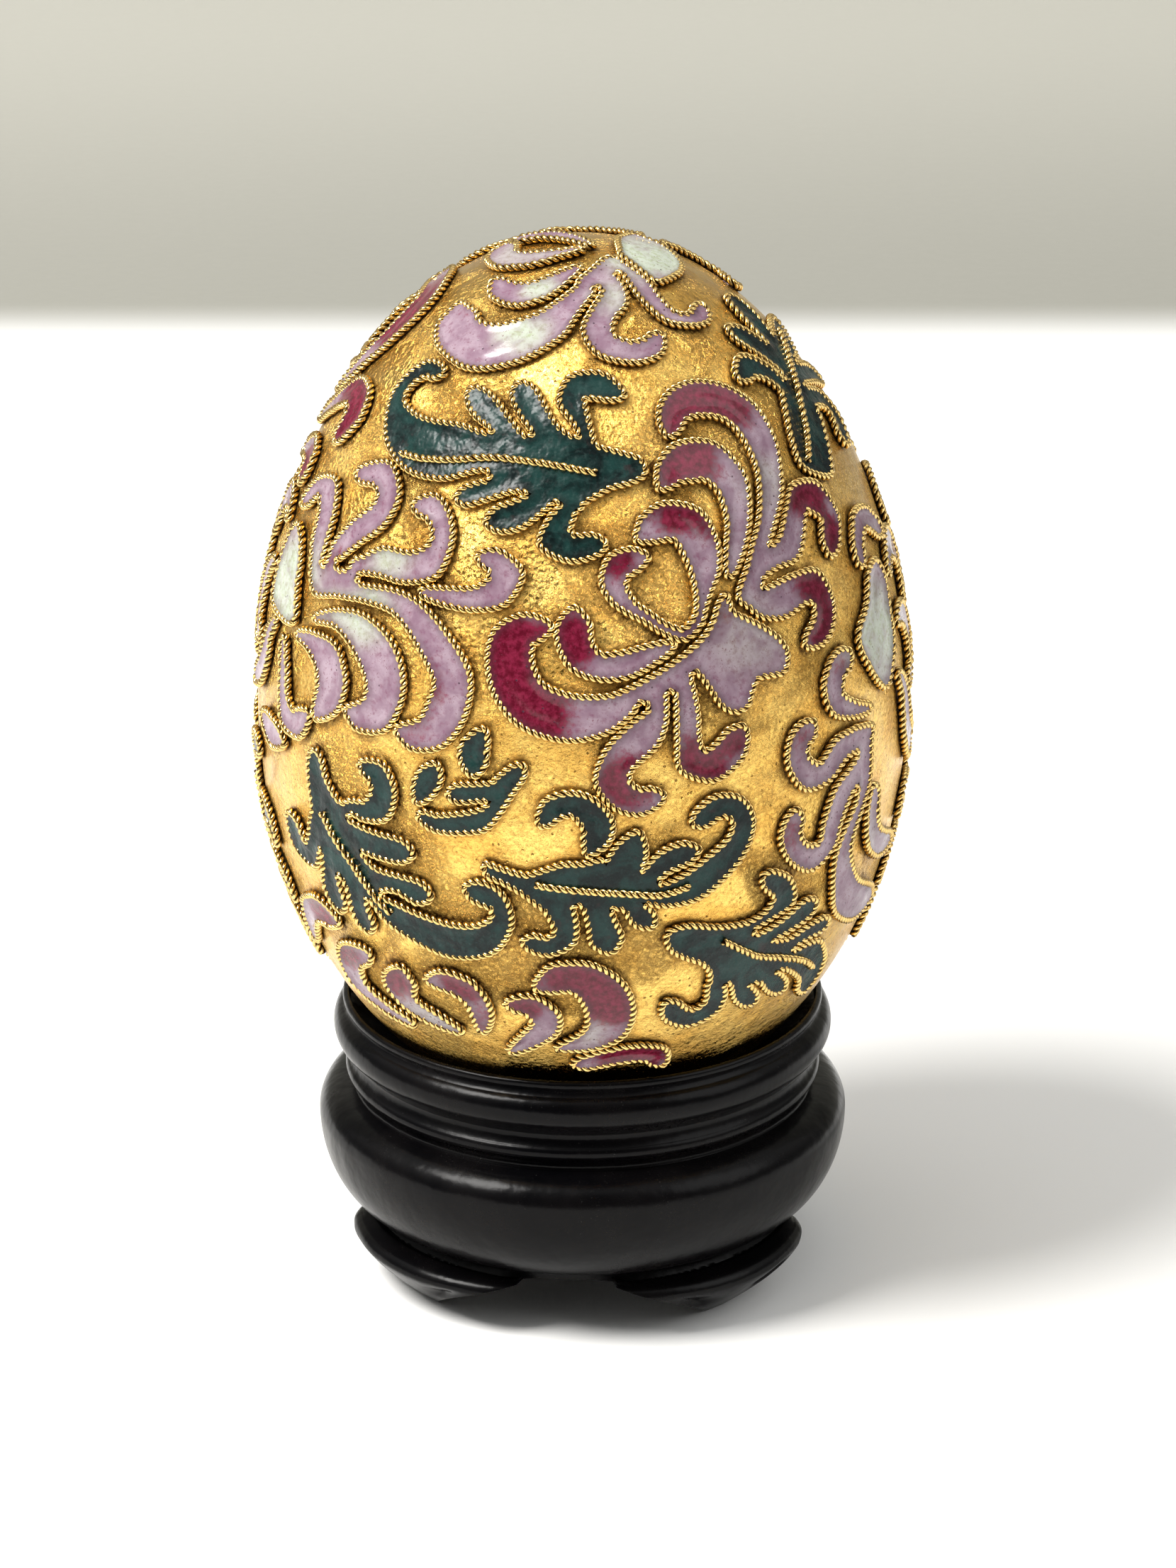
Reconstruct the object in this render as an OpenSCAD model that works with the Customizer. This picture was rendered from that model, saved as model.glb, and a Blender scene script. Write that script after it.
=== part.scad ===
// Decorated egg on a carved stand.
// A hollow gilt-copper egg is covered with filigree enamel: twisted wires soldered on its skin fence in
// flowers and leaves of coloured enamel. It rests loose in the dish of a black wooden stand.
// Millimetres, +Z up, origin on the ground under the middle of the stand, front towards -Y.

/* [Egg] */
// Widest diameter of the copper egg
egg_width = 44; // [43.5:0.5:46]
// Height of the copper egg from pole to pole
egg_height = 61; // [60:0.5:66]
// How much slimmer the top is than the bottom, as a share of the radius
egg_taper = 0.056; // [0.02:0.002:0.08]
// Thickness of the copper wall
copper_wall = 0.8; // [0.5:0.1:1.5]
// Diameter of the vent hole in the bottom of the egg
vent_diameter = 1.6; // [1:0.1:2.5]
// Flat steps along the egg's outline, from pole to pole
egg_steps = 56; // [40:2:90]

/* [Wire and enamel] */
// Width of the twisted wire at its foot
wire_width = 0.44; // [0.3:0.02:0.44]
// Height of the twisted wire above the copper
wire_height = 0.58; // [0.4:0.02:0.8]
// Height of the enamel above the copper
enamel_height = 0.34; // [0.25:0.01:0.38]
// Latitude of the middle of the drawn panel, in degrees
panel_latitude = 10; // [9:0.5:12]

/* [Stand] */
// Height of the stand's rim above the ground
stand_height = 19.8; // [19:0.1:20.2]
// Height of the egg's middle above the ground
egg_centre_height = 42.5; // [42.5:0.1:44]
// Diameter of the rim bead
rim_diameter = 34.6; // [33.6:0.1:36]
// Diameter of the rounded belly
belly_diameter = 36.8; // [35.6:0.1:38]
// Distance across the flats of the base
base_width = 31.4; // [30.8:0.1:32]
// Height of the arch between two feet
arch_height = 4.1; // [3:0.1:4.2]
// Turn of the stand about its axis, in degrees
stand_turn = -4; // [-45:1:45]

/* [Hidden] */
// Drawings on the front, and those that come again on the back
FRONT = [
  "rose", "left_flower", "right_flower", "bottom_flower", "side_petals", "sprig",
  "leaf_upper_left", "leaf_upper_right", "leaf_lower_left", "leaf_lower_centre", "leaf_lower_right"
];
BACK = [
  "rose", "left_flower", "right_flower", "bottom_flower", "sprig",
  "leaf_upper_left", "leaf_lower_left", "leaf_lower_centre", "leaf_lower_right"
];
// Every drawing in its place: its nodes' first name, the drawing, and its turn about the egg's axis
PLACED = concat(
  [for (motif = FRONT) [str("front_", motif), motif, 0]],
  [for (motif = BACK) [str("back_", motif), motif, 180]],
  [
    ["right_side_spray", "side_spray", 90],
    ["left_side_spray", "side_spray", 270],
    ["back_crown", "back_crown", 180],
    ["top_flower", "top_flower", 0]
  ]
);
$fn = 120;

function radians(angle) = angle * PI / 180;
function degrees(angle) = angle * 180 / PI;
function unit(v) = v / max(norm(v), 1e-9);
function turned_left(v) = [-v[1], v[0]];
function joined(lists) = [for (list = lists, item = list) item];

// Depth of every wire and enamel foot inside the copper
foot_depth = 0.12;
// Gap between the enamel's edge and the wire's foot
wire_gap = 0.02;
// Height of a midrib's foot, just inside the enamel
rib_foot = enamel_height - 0.12;
// Smallest cosine used when a corner of a wire is mitred
sharpest_corner = 0.6;

// Running clearance of the egg in its seat, and how far the dish opens away from it
seat_gap = 0.06;
dish_opening = 1.1;
// Polar angle of the seat, of the span over which the dish opens, and of the rim up from the bottom pole
seat_polar = 157;
seat_span = 17.5;
rim_polar = acos((egg_centre_height - stand_height + 0.9) / (egg_height / 2 + 1));
dish_steps = 24;
// Levels and radii of the stand's outline
belly_level = 11;
waist_level = 4.6;
waist_radius = 14;
base_top = 4.7;
base_corner = 8.5;
// The feet lean in towards their soles, at eight flats that start this far from the axis
sole_reach = 13.3;
toe_slope = 43;
// Width of the arches at the ground
arch_span = 16.8;

// ---- The egg's shape ----
// A point of the egg is its width times a direction's level part, slimmed towards the top,
// and its height times the direction's upright part.

// Upright part of the direction at the widest level
seam_rise = (1 - sqrt(1 + 8 * egg_taper * egg_taper)) / max(4 * egg_taper, 1e-6);
seam_polar = acos(seam_rise);
// Radius to use so that the widest level has the stated diameter
egg_a = egg_width / 2 / (sin(seam_polar) * (1 - egg_taper * seam_rise));
egg_b = egg_height / 2;

function skin(way) = [
  egg_a * way[0] * (1 - egg_taper * way[2]),
  egg_a * way[1] * (1 - egg_taper * way[2]),
  egg_b * way[2] + egg_centre_height
];
function skin_normal(way) = unit([
  egg_b * way[0],
  egg_b * way[1],
  egg_a * (way[2] - egg_taper * (2 * way[2] * way[2] - 1))
]);
function above_skin(way, height) = skin(way) + height * skin_normal(way);
// The egg's outline in the half plane of a turned shape, moved out by a height; polar 0 is the top
function outline_at(polar, height) =
  let (p = above_skin([sin(polar), 0, cos(polar)], height)) [max(p[0], 0), p[2]];

// ---- The drawing ----
// A drawing is in millimetres on the skin, from the middle of its panel: u to the right, v up.
// A region of enamel is a list of items, anticlockwise. A petal item is a list of [u, v, half width]
// from its root to its tip, and a shore item is a list of [u, v]. A lone petal is closed at both ends.

across_scale = egg_a * (1 - egg_taper * sin(panel_latitude));
up_scale = norm([egg_a * sin(panel_latitude), egg_b * cos(panel_latitude)]);

function way_at(p, turn) = let (
  reach = [p[0] / across_scale, p[1] / up_scale],
  size = norm(reach),
  share = size < 1e-6 ? 1 : sin(degrees(size)) / size,
  middle = [sin(turn) * cos(panel_latitude), -cos(turn) * cos(panel_latitude), sin(panel_latitude)],
  right = [cos(turn), sin(turn), 0],
  up = [-sin(turn) * sin(panel_latitude), cos(turn) * sin(panel_latitude), cos(panel_latitude)]
) middle * cos(degrees(size)) + (right * reach[0] + up * reach[1]) * share;
function on_skin(p, height, turn) = above_skin(way_at(p, turn), height);

function spot(line, i) = [line[i][0], line[i][1]];
function heading(line, i) = unit(spot(line, min(i + 1, len(line) - 1)) - spot(line, max(i - 1, 0)));
function petal_side(petal, side) = [
  for (i = [0 : len(petal) - 1]) spot(petal, i) + side * petal[i][2] * turned_left(heading(petal, i))
];
function petal_tip(petal) = let (i = len(petal) - 1) spot(petal, i) + petal[i][2] * heading(petal, i);
function petal_tail(petal) = spot(petal, 0) - petal[0][2] * heading(petal, 0);
function reversed(list) = [for (i = [len(list) - 1 : -1 : 0]) list[i]];
function is_petal(item) = len(item[0]) == 3;
function is_lone(region) = len(region) == 1;

// Points round an item, and how many there are
function item_points(item, lone) = is_petal(item)
  ? concat(
      lone ? [petal_tail(item)] : [],
      petal_side(item, -1), [petal_tip(item)], reversed(petal_side(item, 1))
    )
  : item;
function outline(region) = joined([for (item = region) item_points(item, is_lone(region))]);
function starts(region) = let (sizes = [for (item = region) len(item_points(item, is_lone(region)))])
  [for (i = 0, at = 0; i < len(sizes); at = at + sizes[i], i = i + 1) at];

// Triangles of a petal whose right root is point "at" and which has "n" sections
function petal_faces(at, n) = concat(
  joined([for (i = [0 : 1 : n - 2]) [
    [at + i, at + i + 1, at + 2 * n - i],
    [at + i + 1, at + 2 * n - i - 1, at + 2 * n - i]
  ]]),
  [[at + n - 1, at + n, at + n + 1]]
);
// Point numbers of a region's body: its shores and the two root points of each petal
function body_ring(region) = let (at = starts(region)) joined([
  for (i = [0 : len(region) - 1]) is_petal(region[i])
    ? [at[i], at[i] + 2 * len(region[i])]
    : [for (j = [0 : len(region[i]) - 1]) at[i] + j]
]);

// Ear clipping of a ring of point numbers, always at the shortest clear diagonal
function cross2(a, b, c) = (b[0] - a[0]) * (c[1] - a[1]) - (b[1] - a[1]) * (c[0] - a[0]);
function inside(p, a, b, c) = cross2(a, b, p) > -1e-9 && cross2(b, c, p) > -1e-9 && cross2(c, a, p) > -1e-9;
function is_ear(points, ring, i) = let (
  n = len(ring), ia = ring[(i + n - 1) % n], ib = ring[i], ic = ring[(i + 1) % n],
  others = [for (k = ring) if (k != ia && k != ib && k != ic) k],
  blocked = [for (k = others) if (inside(points[k], points[ia], points[ib], points[ic])) k]
) cross2(points[ia], points[ib], points[ic]) > 1e-9 && len(blocked) == 0;
function diagonal(points, ring, i) = let (n = len(ring))
  norm(points[ring[(i + 1) % n]] - points[ring[(i + n - 1) % n]]);
function best_ear(points, ring) = let (
  ears = [for (i = [0 : len(ring) - 1]) if (is_ear(points, ring, i)) [diagonal(points, ring, i), i]],
  shortest = min([for (ear = ears) ear[0]])
) [for (ear = ears) if (ear[0] == shortest) ear[1]][0];
function clipped(points, ring) = len(ring) < 3 ? [] : len(ring) == 3 ? [ring] : let (
  n = len(ring), i = best_ear(points, ring), rest = [for (k = [0 : n - 1]) if (k != i) ring[k]]
) concat([[ring[(i + n - 1) % n], ring[i], ring[(i + 1) % n]]], clipped(points, rest));

function region_faces(region) = let (points = outline(region), at = starts(region)) is_lone(region)
  ? concat([[0, 1, 2 * len(region[0]) + 1]], petal_faces(1, len(region[0])))
  : concat(
      joined([for (i = [0 : len(region) - 1]) if (is_petal(region[i])) petal_faces(at[i], len(region[i]))]),
      clipped(points, body_ring(region))
    );

// ---- Solids from the drawing ----
// Each maker returns [points, faces] of one closed solid.

function shifted(faces, by) = [for (face = faces) [for (k = face) k + by]];
function backwards(faces) = [for (face = faces) reversed(face)];

function enamel_solid(region, turn) = let (
  flat = outline(region), n = len(flat), top = region_faces(region)
) [
  concat([for (p = flat) on_skin(p, enamel_height, turn)], [for (p = flat) on_skin(p, -foot_depth, turn)]),
  concat(backwards(top), shifted(top, n), [for (i = [0 : n - 1]) let (j = (i + 1) % n) [i, j, j + n, i + n]])
];

// Outward shift of corner i of a closed outline, for a side moved out by 1
function corner_shift(flat, i) = let (
  n = len(flat), before = unit(flat[i] - flat[(i + n - 1) % n]), after = unit(flat[(i + 1) % n] - flat[i]),
  out = -turned_left(before + after)
) unit(out) / max(norm(before + after) / 2, sharpest_corner);
function ring_wire(region, turn) = let (
  flat = outline(region), n = len(flat), shift = [for (i = [0 : n - 1]) corner_shift(flat, i)]
) [
  joined([for (i = [0 : n - 1]) [
    on_skin(flat[i] + shift[i] * wire_gap, -foot_depth, turn),
    on_skin(flat[i] + shift[i] * (wire_gap + wire_width), -foot_depth, turn),
    on_skin(flat[i] + shift[i] * (wire_gap + wire_width / 2), wire_height, turn)
  ]]),
  [for (i = [0 : n - 1], k = [0 : 2]) let (j = (i + 1) % n, m = (k + 1) % 3)
    [3 * i + k, 3 * j + k, 3 * j + m, 3 * i + m]]
];
// A wire laid over a leaf as its midrib, closed at both ends
function rib_wire(line, turn) = let (n = len(line)) [
  joined([for (i = [0 : n - 1]) let (side = turned_left(heading(line, i)) * wire_width / 2) [
    on_skin(line[i] + side, rib_foot, turn),
    on_skin(line[i] - side, rib_foot, turn),
    on_skin(line[i], wire_height, turn)
  ]]),
  concat(
    [for (i = [0 : n - 2], k = [0 : 2]) let (m = (k + 1) % 3)
      [3 * i + k, 3 * i + 3 + k, 3 * i + 3 + m, 3 * i + m]],
    [[0, 1, 2], [3 * n - 1, 3 * n - 2, 3 * n - 3]]
  )
];

// Solids side by side in one shape
module solids(parts) {
  counts = [for (part = parts) len(part[0])];
  firsts = [for (i = 0, at = 0; i < len(counts); at = at + counts[i], i = i + 1) at];
  polyhedron(
    points = joined([for (part = parts) part[0]]),
    faces = joined([for (i = [0 : len(parts) - 1]) shifted(parts[i][1], firsts[i])]),
    convexity = 10
  );
}
module enamel(regions, turn) {
  solids([for (region = regions) enamel_solid(region, turn)]);
}
module wires(regions, ribs, turn) {
  solids(concat(
    [for (region = regions) ring_wire(region, turn)],
    [for (rib = ribs) rib_wire(rib, turn)]
  ));
}

// ---- What is drawn ----

ROSE = [
  [
    [[12.2, 7.1, .75], [13.6, 7.3, .95], [15.2, 8.1, .85], [16.6, 8.4, .95], [17.4, 7.4, .7], [17.4, 6, .65],
     [16.8, 5, .6], [16.1, 4.5, .35]],
    [[12.2, 9], [13.6, 9.9], [14.85, 10.35]],
    [[14.85, 11.5, .75], [15.6, 13.9, .65], [16.2, 15.1, .8], [17.6, 15.3, 1.1], [19, 14.1, .75],
     [18.9, 12.6, .7], [18.75, 11.6, .5]],
    [[12.35, 11, .45], [13, 13, .42], [13.55, 15.2, .68], [13.6, 17.2, .85], [13.15, 19.3, 1.15],
     [12.1, 21.1, 1.3], [10.4, 22, 1.25], [8.6, 22, 1.2], [7.2, 21.4, 1], [6.4, 20.4, .75], [6.2, 19.4, .5]],
    [[11.4, 9.5], [10.7, 7.6], [11.4, 6.95]]
  ],
  [[[9.95, 9.3, .12], [10.35, 10.8, .42], [10.7, 12.6, .6], [10.65, 14.4, .85], [10.25, 15.8, 1.1],
    [8.9, 17, 1.25], [7.2, 16.8, 1.2], [6.1, 16.1, .8], [5.6, 15.3, .4]]],
  [[[4.1, 11.6, .4], [4.6, 12, .75], [5.7, 12.5, 1], [7.1, 12.2, 1.15], [7.85, 10.8, 1.05], [8.1, 9.3, .75],
    [7.95, 8, .35], [7.75, 6.8, .1], [7.5, 5.9, .08], [6.5, 5, .08], [5, 5.55, .08], [4.3, 6.05, .1],
    [3.2, 6.7, .18], [2.4, 7.5, .4], [2.05, 8.4, .55], [2.4, 9.4, .65], [3.2, 9.8, .55], [3.75, 9.95, .3]]],
  [[[5.5, 4.2, .1], [4.4, 3.72, .36], [2.8, 3.1, .55], [1.2, 2.95, .55], [0, 3.6, .75], [-.5, 4.8, .85],
    [-.5, 5.7, .75]]],
  [
    [[7.4, 2.9], [8.3, 1.8], [9.2, .5], [10, .1], [10.7, .4], [11, 1.2], [11.5, 2.2], [12.6, 2.4],
     [13.5, 2.6], [13.75, 3.6], [13.2, 4.5], [12, 5.3], [10.7, 5.9], [9.75, 6.4], [9.45, 7.3], [9.1, 6.8],
     [8.9, 6.1], [8.3, 5], [7.2, 3.9], [5.2, 2.5]],
    [[2.7, .6, .55], [1.2, -.1, .95], [-.8, -.3, 1.2], [-2.9, .35, 1.26], [-4.1, 1.6, 1.25],
     [-4.6, 3.3, 1.2], [-4.4, 4.6, 1.15], [-3.6, 5.3, .8], [-2.7, 5.4, .5]],
    [[3.3, .75], [3.9, 1], [4.4, .6]],
    [[4.7, -.3, .45], [3.9, -1.4, .85], [2.4, -2.9, .8], [1.9, -4.3, .8], [2.6, -5.4, .7],
     [3.6, -5.8, .6], [4.5, -5.6, .4]],
    [[5.1, 1.3], [5.6, 1.65], [6.15, 1.3]],
    [[6.7, -.2, .48], [6.75, -1.8, .5], [7, -3.2, .7], [8.3, -3.6, .8], [9.5, -2.8, .8],
     [10.1, -1.9, .6]],
    [[6.95, 1.2], [6.7, 2.4]]
  ]
];

LEFT_FLOWER = [
  [
    [[-15.4, 7.9, .3], [-13, 7.35, .45], [-11.4, 6.4, .65], [-9.8, 4.6, .85], [-8.4, 2.2, 1],
      [-8.75, .1, 1.1],
     [-9.7, -1.4, .95], [-11, -1.8, .7], [-11.7, -1.6, .4]],
    [[-15.7, 8.3], [-16.4, 8.9], [-15.9, 9.6]],
    [[-15.6, 9.95, .35], [-14, 10.1, .75], [-12, 9.6, .8], [-10.3, 9.85, .85], [-9.45, 11.2, .5],
     [-9.6, 12.7, .5], [-10.4, 13.8, .6], [-11.1, 13.9, .45]],
    [[-16.3, 10.2], [-16.8, 9.5], [-17.9, 9.4], [-18.5, 10.1], [-18.2, 10.9]],
    [[-18.1, 11.3, .55], [-16.6, 12.4, .75], [-14.7, 13.5, .75], [-13.95, 15, .65], [-14.7, 16.7, .75],
     [-16.5, 17.1, .5]],
    [[-18.8, 10.7], [-19.4, 9.8], [-20.1, 10.2]],
    [[-20.4, 10.6, .4], [-20.3, 12.4, .65], [-19.95, 14.6, .7], [-20.3, 16.5, .8], [-21.6, 17.1, .6],
     [-23.1, 16.3, .5]],
    [[-20.6, 9.3], [-20, 8.2], [-18, 8], [-16.3, 7.75]]
  ],
  [[[-10.4, 7.8, .1], [-8.8, 7.5, .35], [-7, 7.35, .5], [-5.5, 7.8, .75], [-4.95, 8.9, .85], [-5.6, 9.8, .5],
    [-6.3, 10, .3]]],
  [[[-19.6, 6.15, .1], [-17.6, 6.1, .4], [-15.6, 5.2, .95], [-13.9, 3.4, 1.25], [-13.3, 1.3, 1.2],
    [-14, -.5, 1.1], [-15.3, -.8, .75], [-15.9, -.6, .4]]],
  [[[-21.7, 4.85, .12], [-20.2, 4.35, .5], [-18.6, 3.3, 1], [-17.95, 1.5, 1.1], [-18.3, .1, 1],
    [-19.1, -.8, .5]]],
  [[[-23.9, 4.2, .1], [-23.7, 1.8, .25], [-23.6, -.2, .35], [-22.9, -1.8, .75], [-21.7, -2.1, .85],
    [-20.9, -1.5, .5]]],
  [[[-24.2, 13.2, .8], [-24.4, 11, 1.6], [-24.6, 8.4, 1.8], [-23.4, 6.8, .9]]],
  [[[-27, -2.6, .5], [-25.4, -3.6, .95], [-24.4, -3.9, .6]]]
];

RIGHT_FLOWER = [
  [[[21.7, -.95, .1], [20.2, -.85, .35], [18.5, -.3, .6], [18, .9, .65], [18.4, 2.3, .6], [19.2, 3, .6]]],
  [
    [[21.6, -7.7], [21.9, -6.5], [21.9, -3.6], [22, -2.6], [20.6, -2.5]],
    [[20.3, -3.2, .65], [18.7, -3.7, .7], [17.2, -5.1, .6], [15.8, -5.2, .75], [14.8, -4, .6],
     [14.9, -2.6, .55], [15.6, -1.9, .5]],
    [[20.75, -4.55]],
    [[20.3, -6, .7], [19, -7.1, .7], [18.1, -9.2, .65], [17.7, -10.9, .6], [16.4, -11.7, .75],
     [15, -10.9, .6], [14.35, -9.5, .55], [14.6, -8.3, .45]],
    [[20.9, -7.5]],
    [[20.9, -8.7, .25], [19.95, -10.6, .4], [19.5, -12.5, .65], [19.95, -14.8, 1], [20.9, -17, 1.4],
     [23, -18.8, 1.5], [24.6, -19.6, 1]]
  ],
  [[[22.2, 10.9, .3], [22.1, 12.3, .4], [22.8, 14.2, .6], [24.3, 14.8, .8], [26, 14.3, .7]]],
  [[[24.4, 9.6, 1.2], [24.2, 7, 1.6], [23.6, 4.4, 2.4], [24.2, 2, 1.3]]],
  [[[22.95, -8.2, .35], [22.9, -10.4, .55], [23.6, -12.4, .75], [25.2, -13.8, .9], [26.8, -14.4, .6]]]
];

BOTTOM_FLOWER = [
  [[[-1.4, -26.2, .15], [.4, -25.4, .8], [1.6, -24.2, 1.2], [1.9, -22.4, 1.35], [1.4, -20.5, 1.35],
    [.1, -19.1, 1.15], [-1.5, -19, 1], [-2.4, -19.6, .6]]],
  [[[-4.9, -27, .2], [-3.7, -25.6, .55], [-2.6, -24.1, .7], [-2.6, -22.8, .8], [-3.5, -21.8, .7],
    [-4.5, -21.8, .45]]],
  [[[-7.1, -25, .15], [-7.05, -23.6, .5], [-7.3, -22.2, .6], [-8.2, -21, .75], [-9.6, -20.6, .7],
    [-10.4, -20.8, .4]]],
  [[[-9.2, -25.9, .15], [-11, -25.2, .6], [-12.8, -24.3, .75], [-13.5, -22.9, 1.05], [-13.3, -21.7, .95]]],
  [[[-13.5, -27, .3], [-16, -26.3, .6], [-17.9, -25.2, .95], [-18.4, -23.3, 1], [-17.9, -21.6, 1],
    [-16.6, -20.8, .65]]],
  [[[-23.3, -23, .4], [-23, -21, .7], [-22.4, -19.3, .95], [-20.9, -18.4, 1.1], [-19.7, -18.5, .8]]],
  [[[.1, -28.3, .5], [1.8, -27.6, .7], [3.6, -27.3, .75], [5.2, -27.8, .7], [5.6, -28.8, .5]]]
];

SIDE_PETALS = [
  [[[-23.5, 29.3, .4], [-20.6, 30.5, .85], [-17.6, 32, 1.2], [-15.4, 34.3, 1.4], [-14.3, 37, 1.2],
    [-14.4, 40, 1.3], [-14.8, 42, 1.1]]],
  [[[-25.5, 26.6, .5], [-22.8, 26.4, .75], [-20.2, 26.3, 1.1], [-19, 24.8, 1.05], [-19.1, 23, 1],
    [-20.2, 21.7, .6]]],
  [[[-27.5, 23.6, .5], [-25.6, 22.6, .9], [-24.8, 21, .8], [-25.2, 19.4, .6]]]
];

SPRIG = [
  [
    [[-4.9, -4.8, .5], [-4.1, -3.9, .3]],
    [[-5.6, -5.3, .45], [-6.9, -5.35, .35], [-8, -5.5, .35]],
    [[-6.2, -7.05, .4], [-7.6, -7.5, .45], [-9.4, -7.7, .35], [-10.3, -7.4, .2]]
  ],
  [[[-9.8, -4.3, .5], [-10.2, -5.1, .6], [-10.6, -5.9, .3]]],
  [[[-6.5, -1.7, .35], [-6.9, -2.5, .65], [-6.9, -3.4, .55]]]
];

LEAF_UPPER_LEFT = [[
  [[0, 13.8], [1, 14.45], [1.9, 14.95], [3.4, 15.4], [4, 15.9], [3.8, 16.6], [2.6, 17], [.9, 17.5]],
  [[.35, 18.3, .2], [-.15, 19.8, .35], [-.7, 21.2, .65], [-.2, 22.3, .8], [1.2, 22.4, .85], [2.3, 21.9, .45]],
  [[-.85, 18.2]],
  [[-2.5, 18.9, .6], [-3.5, 20.6, .7], [-4.2, 22, .6]],
  [[-4.1, 18.3]],
  [[-5.5, 19.3, .5], [-6.9, 21, .7], [-7.7, 22.1, .5]],
  [[-7, 18.75]],
  [[-9.2, 17.8, 1.85], [-11.6, 18.6, 1.8], [-13.4, 20.2, 1.3], [-14.35, 22.3, .6], [-14.2, 23.9, .45],
   [-13.2, 25, .45], [-12, 25.4, .5], [-11.1, 24.9, .4]],
  [[-7.2, 16.4], [-6.2, 16.25]],
  [[-5.9, 14.85, .42], [-6.9, 14.6, .45], [-7.9, 14.35, .4]],
  [[-4.9, 14.7], [-4.2, 14.75]],
  [[-2.9, 13.8, .55], [-4.3, 12.9, .7], [-5.5, 12.6, .6]],
  [[-1.9, 14]],
  [[-.8, 13.4, .3], [-1.5, 12.2, .55], [-1.7, 11.3, .85], [-.7, 10.6, .6], [.8, 10.8, .45]],
  [[-.3, 13.3]]
]];
LEAF_UPPER_LEFT_RIBS = [
  [[-13.2, 18.2], [-11.5, 17.5], [-9, 17.1], [-6, 17], [-3, 16.5], [-1, 16.1], [1, 15.7]]
];

LEAF_UPPER_RIGHT = [[
  [[17.2, 17.9], [19.6, 17.8], [20.1, 19.5], [20.1, 23]],
  [[19.6, 25.2, .8], [21.6, 25.9, .75], [23.2, 24.8, .7], [23.6, 22.8, .6]],
  [[19.2, 26.8]],
  [[19.7, 28.1, .8], [21.4, 29.2, .8], [22.8, 29.6, .6]],
  [[19, 29.7]],
  [[18.5, 31, 1.2], [18.9, 33.5, .85], [19.3, 35.6, .5]],
  [[15.9, 31.6, .85], [14.9, 33.2, .95], [13.9, 34.5, .7]],
  [[15.9, 30.3]],
  [[15.9, 28.4, 1], [14.4, 29, .9], [13, 29.6, .7]],
  [[16.9, 26.6]],
  [[16.6, 25, .5], [15, 26, .6], [13.2, 26, .8], [12.6, 25, .5]],
  [[16.4, 23], [16.5, 20]]
]];
LEAF_UPPER_RIGHT_RIBS = [[[18.6, 33.5], [18.3, 30], [18, 26], [17.9, 22], [17.6, 19], [17.4, 18.2]]];

LEAF_LOWER_LEFT = [[
  [[-13.3, -15.4, .75], [-11.2, -16.2, 1], [-8.8, -16.7, 1.15], [-6.6, -16.2, .95], [-5.35, -14.8, .5],
   [-5.3, -13.4, .35], [-6, -12.7, .55], [-6.9, -12.4, .5]],
  [[-13.9, -14.5]],
  [[-14.3, -12.9, .65], [-12.6, -12.8, .4], [-11, -13.2, .6]],
  [[-15.3, -11.6]],
  [[-15.6, -9.9, .75], [-14, -10.1, .7], [-12.2, -10.2, .6]],
  [[-16.8, -8.7]],
  [[-16.2, -7.55, .25], [-15, -7.65, .45], [-13.9, -7.2, .75], [-13.4, -5.9, .65], [-13.9, -4.7, .6],
   [-14.7, -4.4, .35]],
  [[-18.6, -8.2, 1.4], [-19.4, -6.2, .75], [-19.6, -4.6, .45]],
  [[-20.3, -9.8]],
  [[-20, -11.2, .6], [-20.9, -13, .7], [-22.3, -12.4, .75], [-23, -10.8, .55]],
  [[-18.7, -13.4, .5], [-18.7, -14.9, .7], [-18.3, -16.2, .6]],
  [[-17.3, -13.5]],
  [[-16.2, -14.6, .6], [-16.1, -16, .55], [-15.7, -17.2, .5]],
  [[-14.8, -14.7]]
]];
LEAF_LOWER_LEFT_RIBS = [
  [[-19, -8.6], [-18.2, -9.8], [-17, -11.3], [-16, -12.4], [-14.6, -14.2], [-13.2, -15.4]]
];

LEAF_LOWER_CENTRE = [
  [
    [[5.4, -12.5, .6], [7.2, -12, .85], [8.9, -10.7, .8], [10.2, -9.3, .6], [10.6, -7.8, .5],
     [10, -6.7, .5], [8.8, -6.5, .5], [7.7, -7.2, .4]],
    [[4.6, -11.4]],
    [[5.1, -10.2, .5], [6, -9.75, .55], [6.8, -9.55, .45]],
    [[2.6, -10.6, 1.1], [3, -9.4, .85], [3.3, -8.6, .5]],
    [[1.2, -9.95], [0, -10.25], [-1.2, -10.3], [-2.4, -10.75], [-3.6, -11.15], [-5.2, -10.8],
     [-6, -10.55], [-5.9, -10.95], [-5, -11.3], [-3.8, -12], [-2.7, -12.9]],
    [[-1.5, -13.2, .7], [-1.1, -14.6, .5], [-1.2, -15.6, .5], [-2.2, -16.3, .45], [-3.2, -16.1, .4]],
    [[0, -12.7]],
    [[1, -13.2, .65], [1.3, -14.6, .65], [1.6, -15.8, .75]],
    [[3.3, -13, .5], [3.7, -13.8, .5], [4.1, -14.3, .45]]
  ],
  [[[.5, -9, .15], [.9, -8.2, .6], [1, -7.3, .7], [.35, -6.4, .65], [-.6, -5.9, .5], [-1.8, -6.2, .5],
    [-2.3, -6.9, .3]]]
];
LEAF_LOWER_CENTRE_RIBS = [
  [[-3, -11.5], [-1, -11.8], [1.2, -12], [3, -12.2], [5.2, -12.4], [7, -11.95]]
];

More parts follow.
